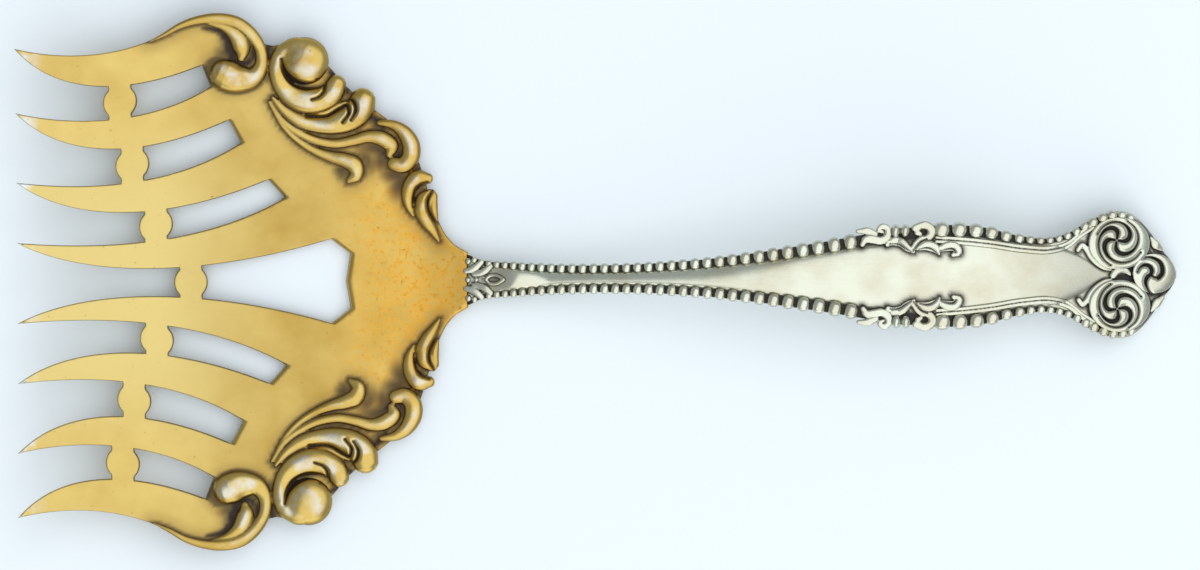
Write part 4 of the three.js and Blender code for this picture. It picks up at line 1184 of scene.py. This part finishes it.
def outside_dome(dome, x, y):
    """How far places lie outside a low oval dome, in plan."""
    away = np.hypot((x - dome["ring"][0]) / dome["radii"][0], (y - dome["ring"][1]) / dome["radii"][1])
    return (away - 1) * dome["radii"][1]


def whorl_grooves():
    """Grooves that wind out of the eye of the whorl on the +Y side and leave its comma-shaped arms."""
    eye, ring = np.array(WHORL["eye"]), np.array(WHORL["ring"])
    grooves = []
    for k in range(WHORL["grooves"]):
        rows = []
        for t in np.linspace(0, 1, GROOVE_STEPS) ** 2:
            angle = WHORL["start"] + 2 * math.pi * k / WHORL["grooves"] + WHORL["sweep"] * t
            reach = WHORL["hub"] + (WHORL["reach"] - WHORL["hub"]) * t ** WHORL["spread"]
            x, y = eye + (ring - eye) * t + reach * np.array((math.cos(angle), math.sin(angle)))
            rows.append((x, y, np.interp(t, WHORL_GROOVE["at"], WHORL_GROOVE["half"])))
        grooves.append(rows)
    return grooves


class FORK_OT_whorls(bpy.types.Operator):
    """Pair of whorls at the spread end, each of four comma-shaped arms round an eye"""

    bl_idname = "fork.whorls"
    bl_label = "Whorls"

    def execute(self, context):
        crest_piece(context, "whorl_relief", [WHORL_LEAF], [dome_ball(WHORL)], ["left", "right"], "whorl",
                    whorl_grooves(), WHORL_CUT)
        return {"FINISHED"}


class FORK_OT_end_scroll(bpy.types.Operator):
    """Scroll between the whorls at the very end"""

    bl_idname = "fork.end_scroll"
    bl_label = "End Scroll"

    def execute(self, context):
        crest_piece(context, "end_curl", END_STROKES.values(), [dome_ball(END_DOME)], [""], "end_scroll",
                    END_GROOVES.values(), END_CUT)
        return {"FINISHED"}


class FORK_OT_stage(bpy.types.Operator):
    """Pale paper, soft light and a camera straight above"""

    bl_idname = "fork.stage"
    bl_label = "Stage"

    def execute(self, context):
        settings = context.scene.fork_stage
        bm = bmesh.new()
        bmesh.ops.create_grid(bm, x_segments=1, y_segments=1, size=PAPER_HALF)
        mesh = mesh_from("paper_floor", bm)
        mesh.materials.append(paper(settings.floor))
        floor = in_scene("paper_floor", mesh)
        world = bpy.data.worlds.new("soft_sky")
        world.use_nodes = True
        world.node_tree.nodes.clear()
        sky = add_node(world.node_tree, "ShaderNodeBackground", {
            "Color": (*settings.sky, 1), "Strength": settings.sky_strength})
        add_node(world.node_tree, "ShaderNodeOutputWorld", {"Surface": sky.outputs[0]})
        context.scene.world = world
        self.area("ceiling_light", settings.ceiling_power, *CEILING)
        self.area("card_light", settings.card_power, *CARD)
        camera = bpy.data.cameras.new("photo_camera")
        camera.sensor_width = SENSOR_WIDTH
        camera.lens = camera.sensor_width * settings.camera_height / settings.view_width
        camera.clip_end = CLIP_END
        eye = in_scene("photo_camera", camera)
        across, along, up = (MM * shift for shift in EYE_SHIFT)
        eye.location = (across, along, settings.camera_height + up)
        eye.rotation_euler = (0, 0, settings.view_turn)
        context.scene.camera = eye
        context.scene.view_settings.view_transform = "Standard"
        return {"FINISHED"}

    def area(self, name, power, place, size):
        """A soft box that faces the fork."""
        light = bpy.data.lights.new(name, "AREA")
        light.shape = "RECTANGLE"
        light.size, light.size_y = size
        light.energy = power
        lamp = in_scene(name, light)
        lamp.location = place
        lamp.rotation_euler = (-Vector(place)).to_track_quat("-Z", "Y").to_euler()


GROUPS = {"fork_head": HeadSizes, "fork_handle": HandleSizes, "fork_finish": FinishColours,
          "fork_stage": StageSettings}
STEPS = [FORK_OT_gilt_head, FORK_OT_scroll_borders, FORK_OT_shank, FORK_OT_bead_rows, FORK_OT_palmette,
         FORK_OT_side_scrolls, FORK_OT_thread_lines, FORK_OT_whorls, FORK_OT_end_scroll, FORK_OT_stage]


class FORK_PT_panel(bpy.types.Panel):
    """Sizes, colours and steps of the fork"""

    bl_idname = "FORK_PT_panel"
    bl_label = "Sardine Fork"
    bl_space_type = "VIEW_3D"
    bl_region_type = "UI"
    bl_category = "Fork"

    def draw(self, context):
        for name, group in GROUPS.items():
            box = self.layout.box()
            for key in group.__annotations__:
                box.prop(getattr(context.scene, name), key)
        for step in STEPS:
            self.layout.operator(step.bl_idname)


def register():
    for group in (*GROUPS.values(), *STEPS, FORK_PT_panel):
        bpy.utils.register_class(group)
    for name, group in GROUPS.items():
        setattr(bpy.types.Scene, name, PointerProperty(type=group))


def unregister():
    for name in GROUPS:
        delattr(bpy.types.Scene, name)
    for group in reversed((*GROUPS.values(), *STEPS, FORK_PT_panel)):
        bpy.utils.unregister_class(group)


def main():
    register()
    for step in STEPS:
        getattr(bpy.ops.fork, step.bl_idname.split(".")[1])()


if __name__ == "__main__":
    main()
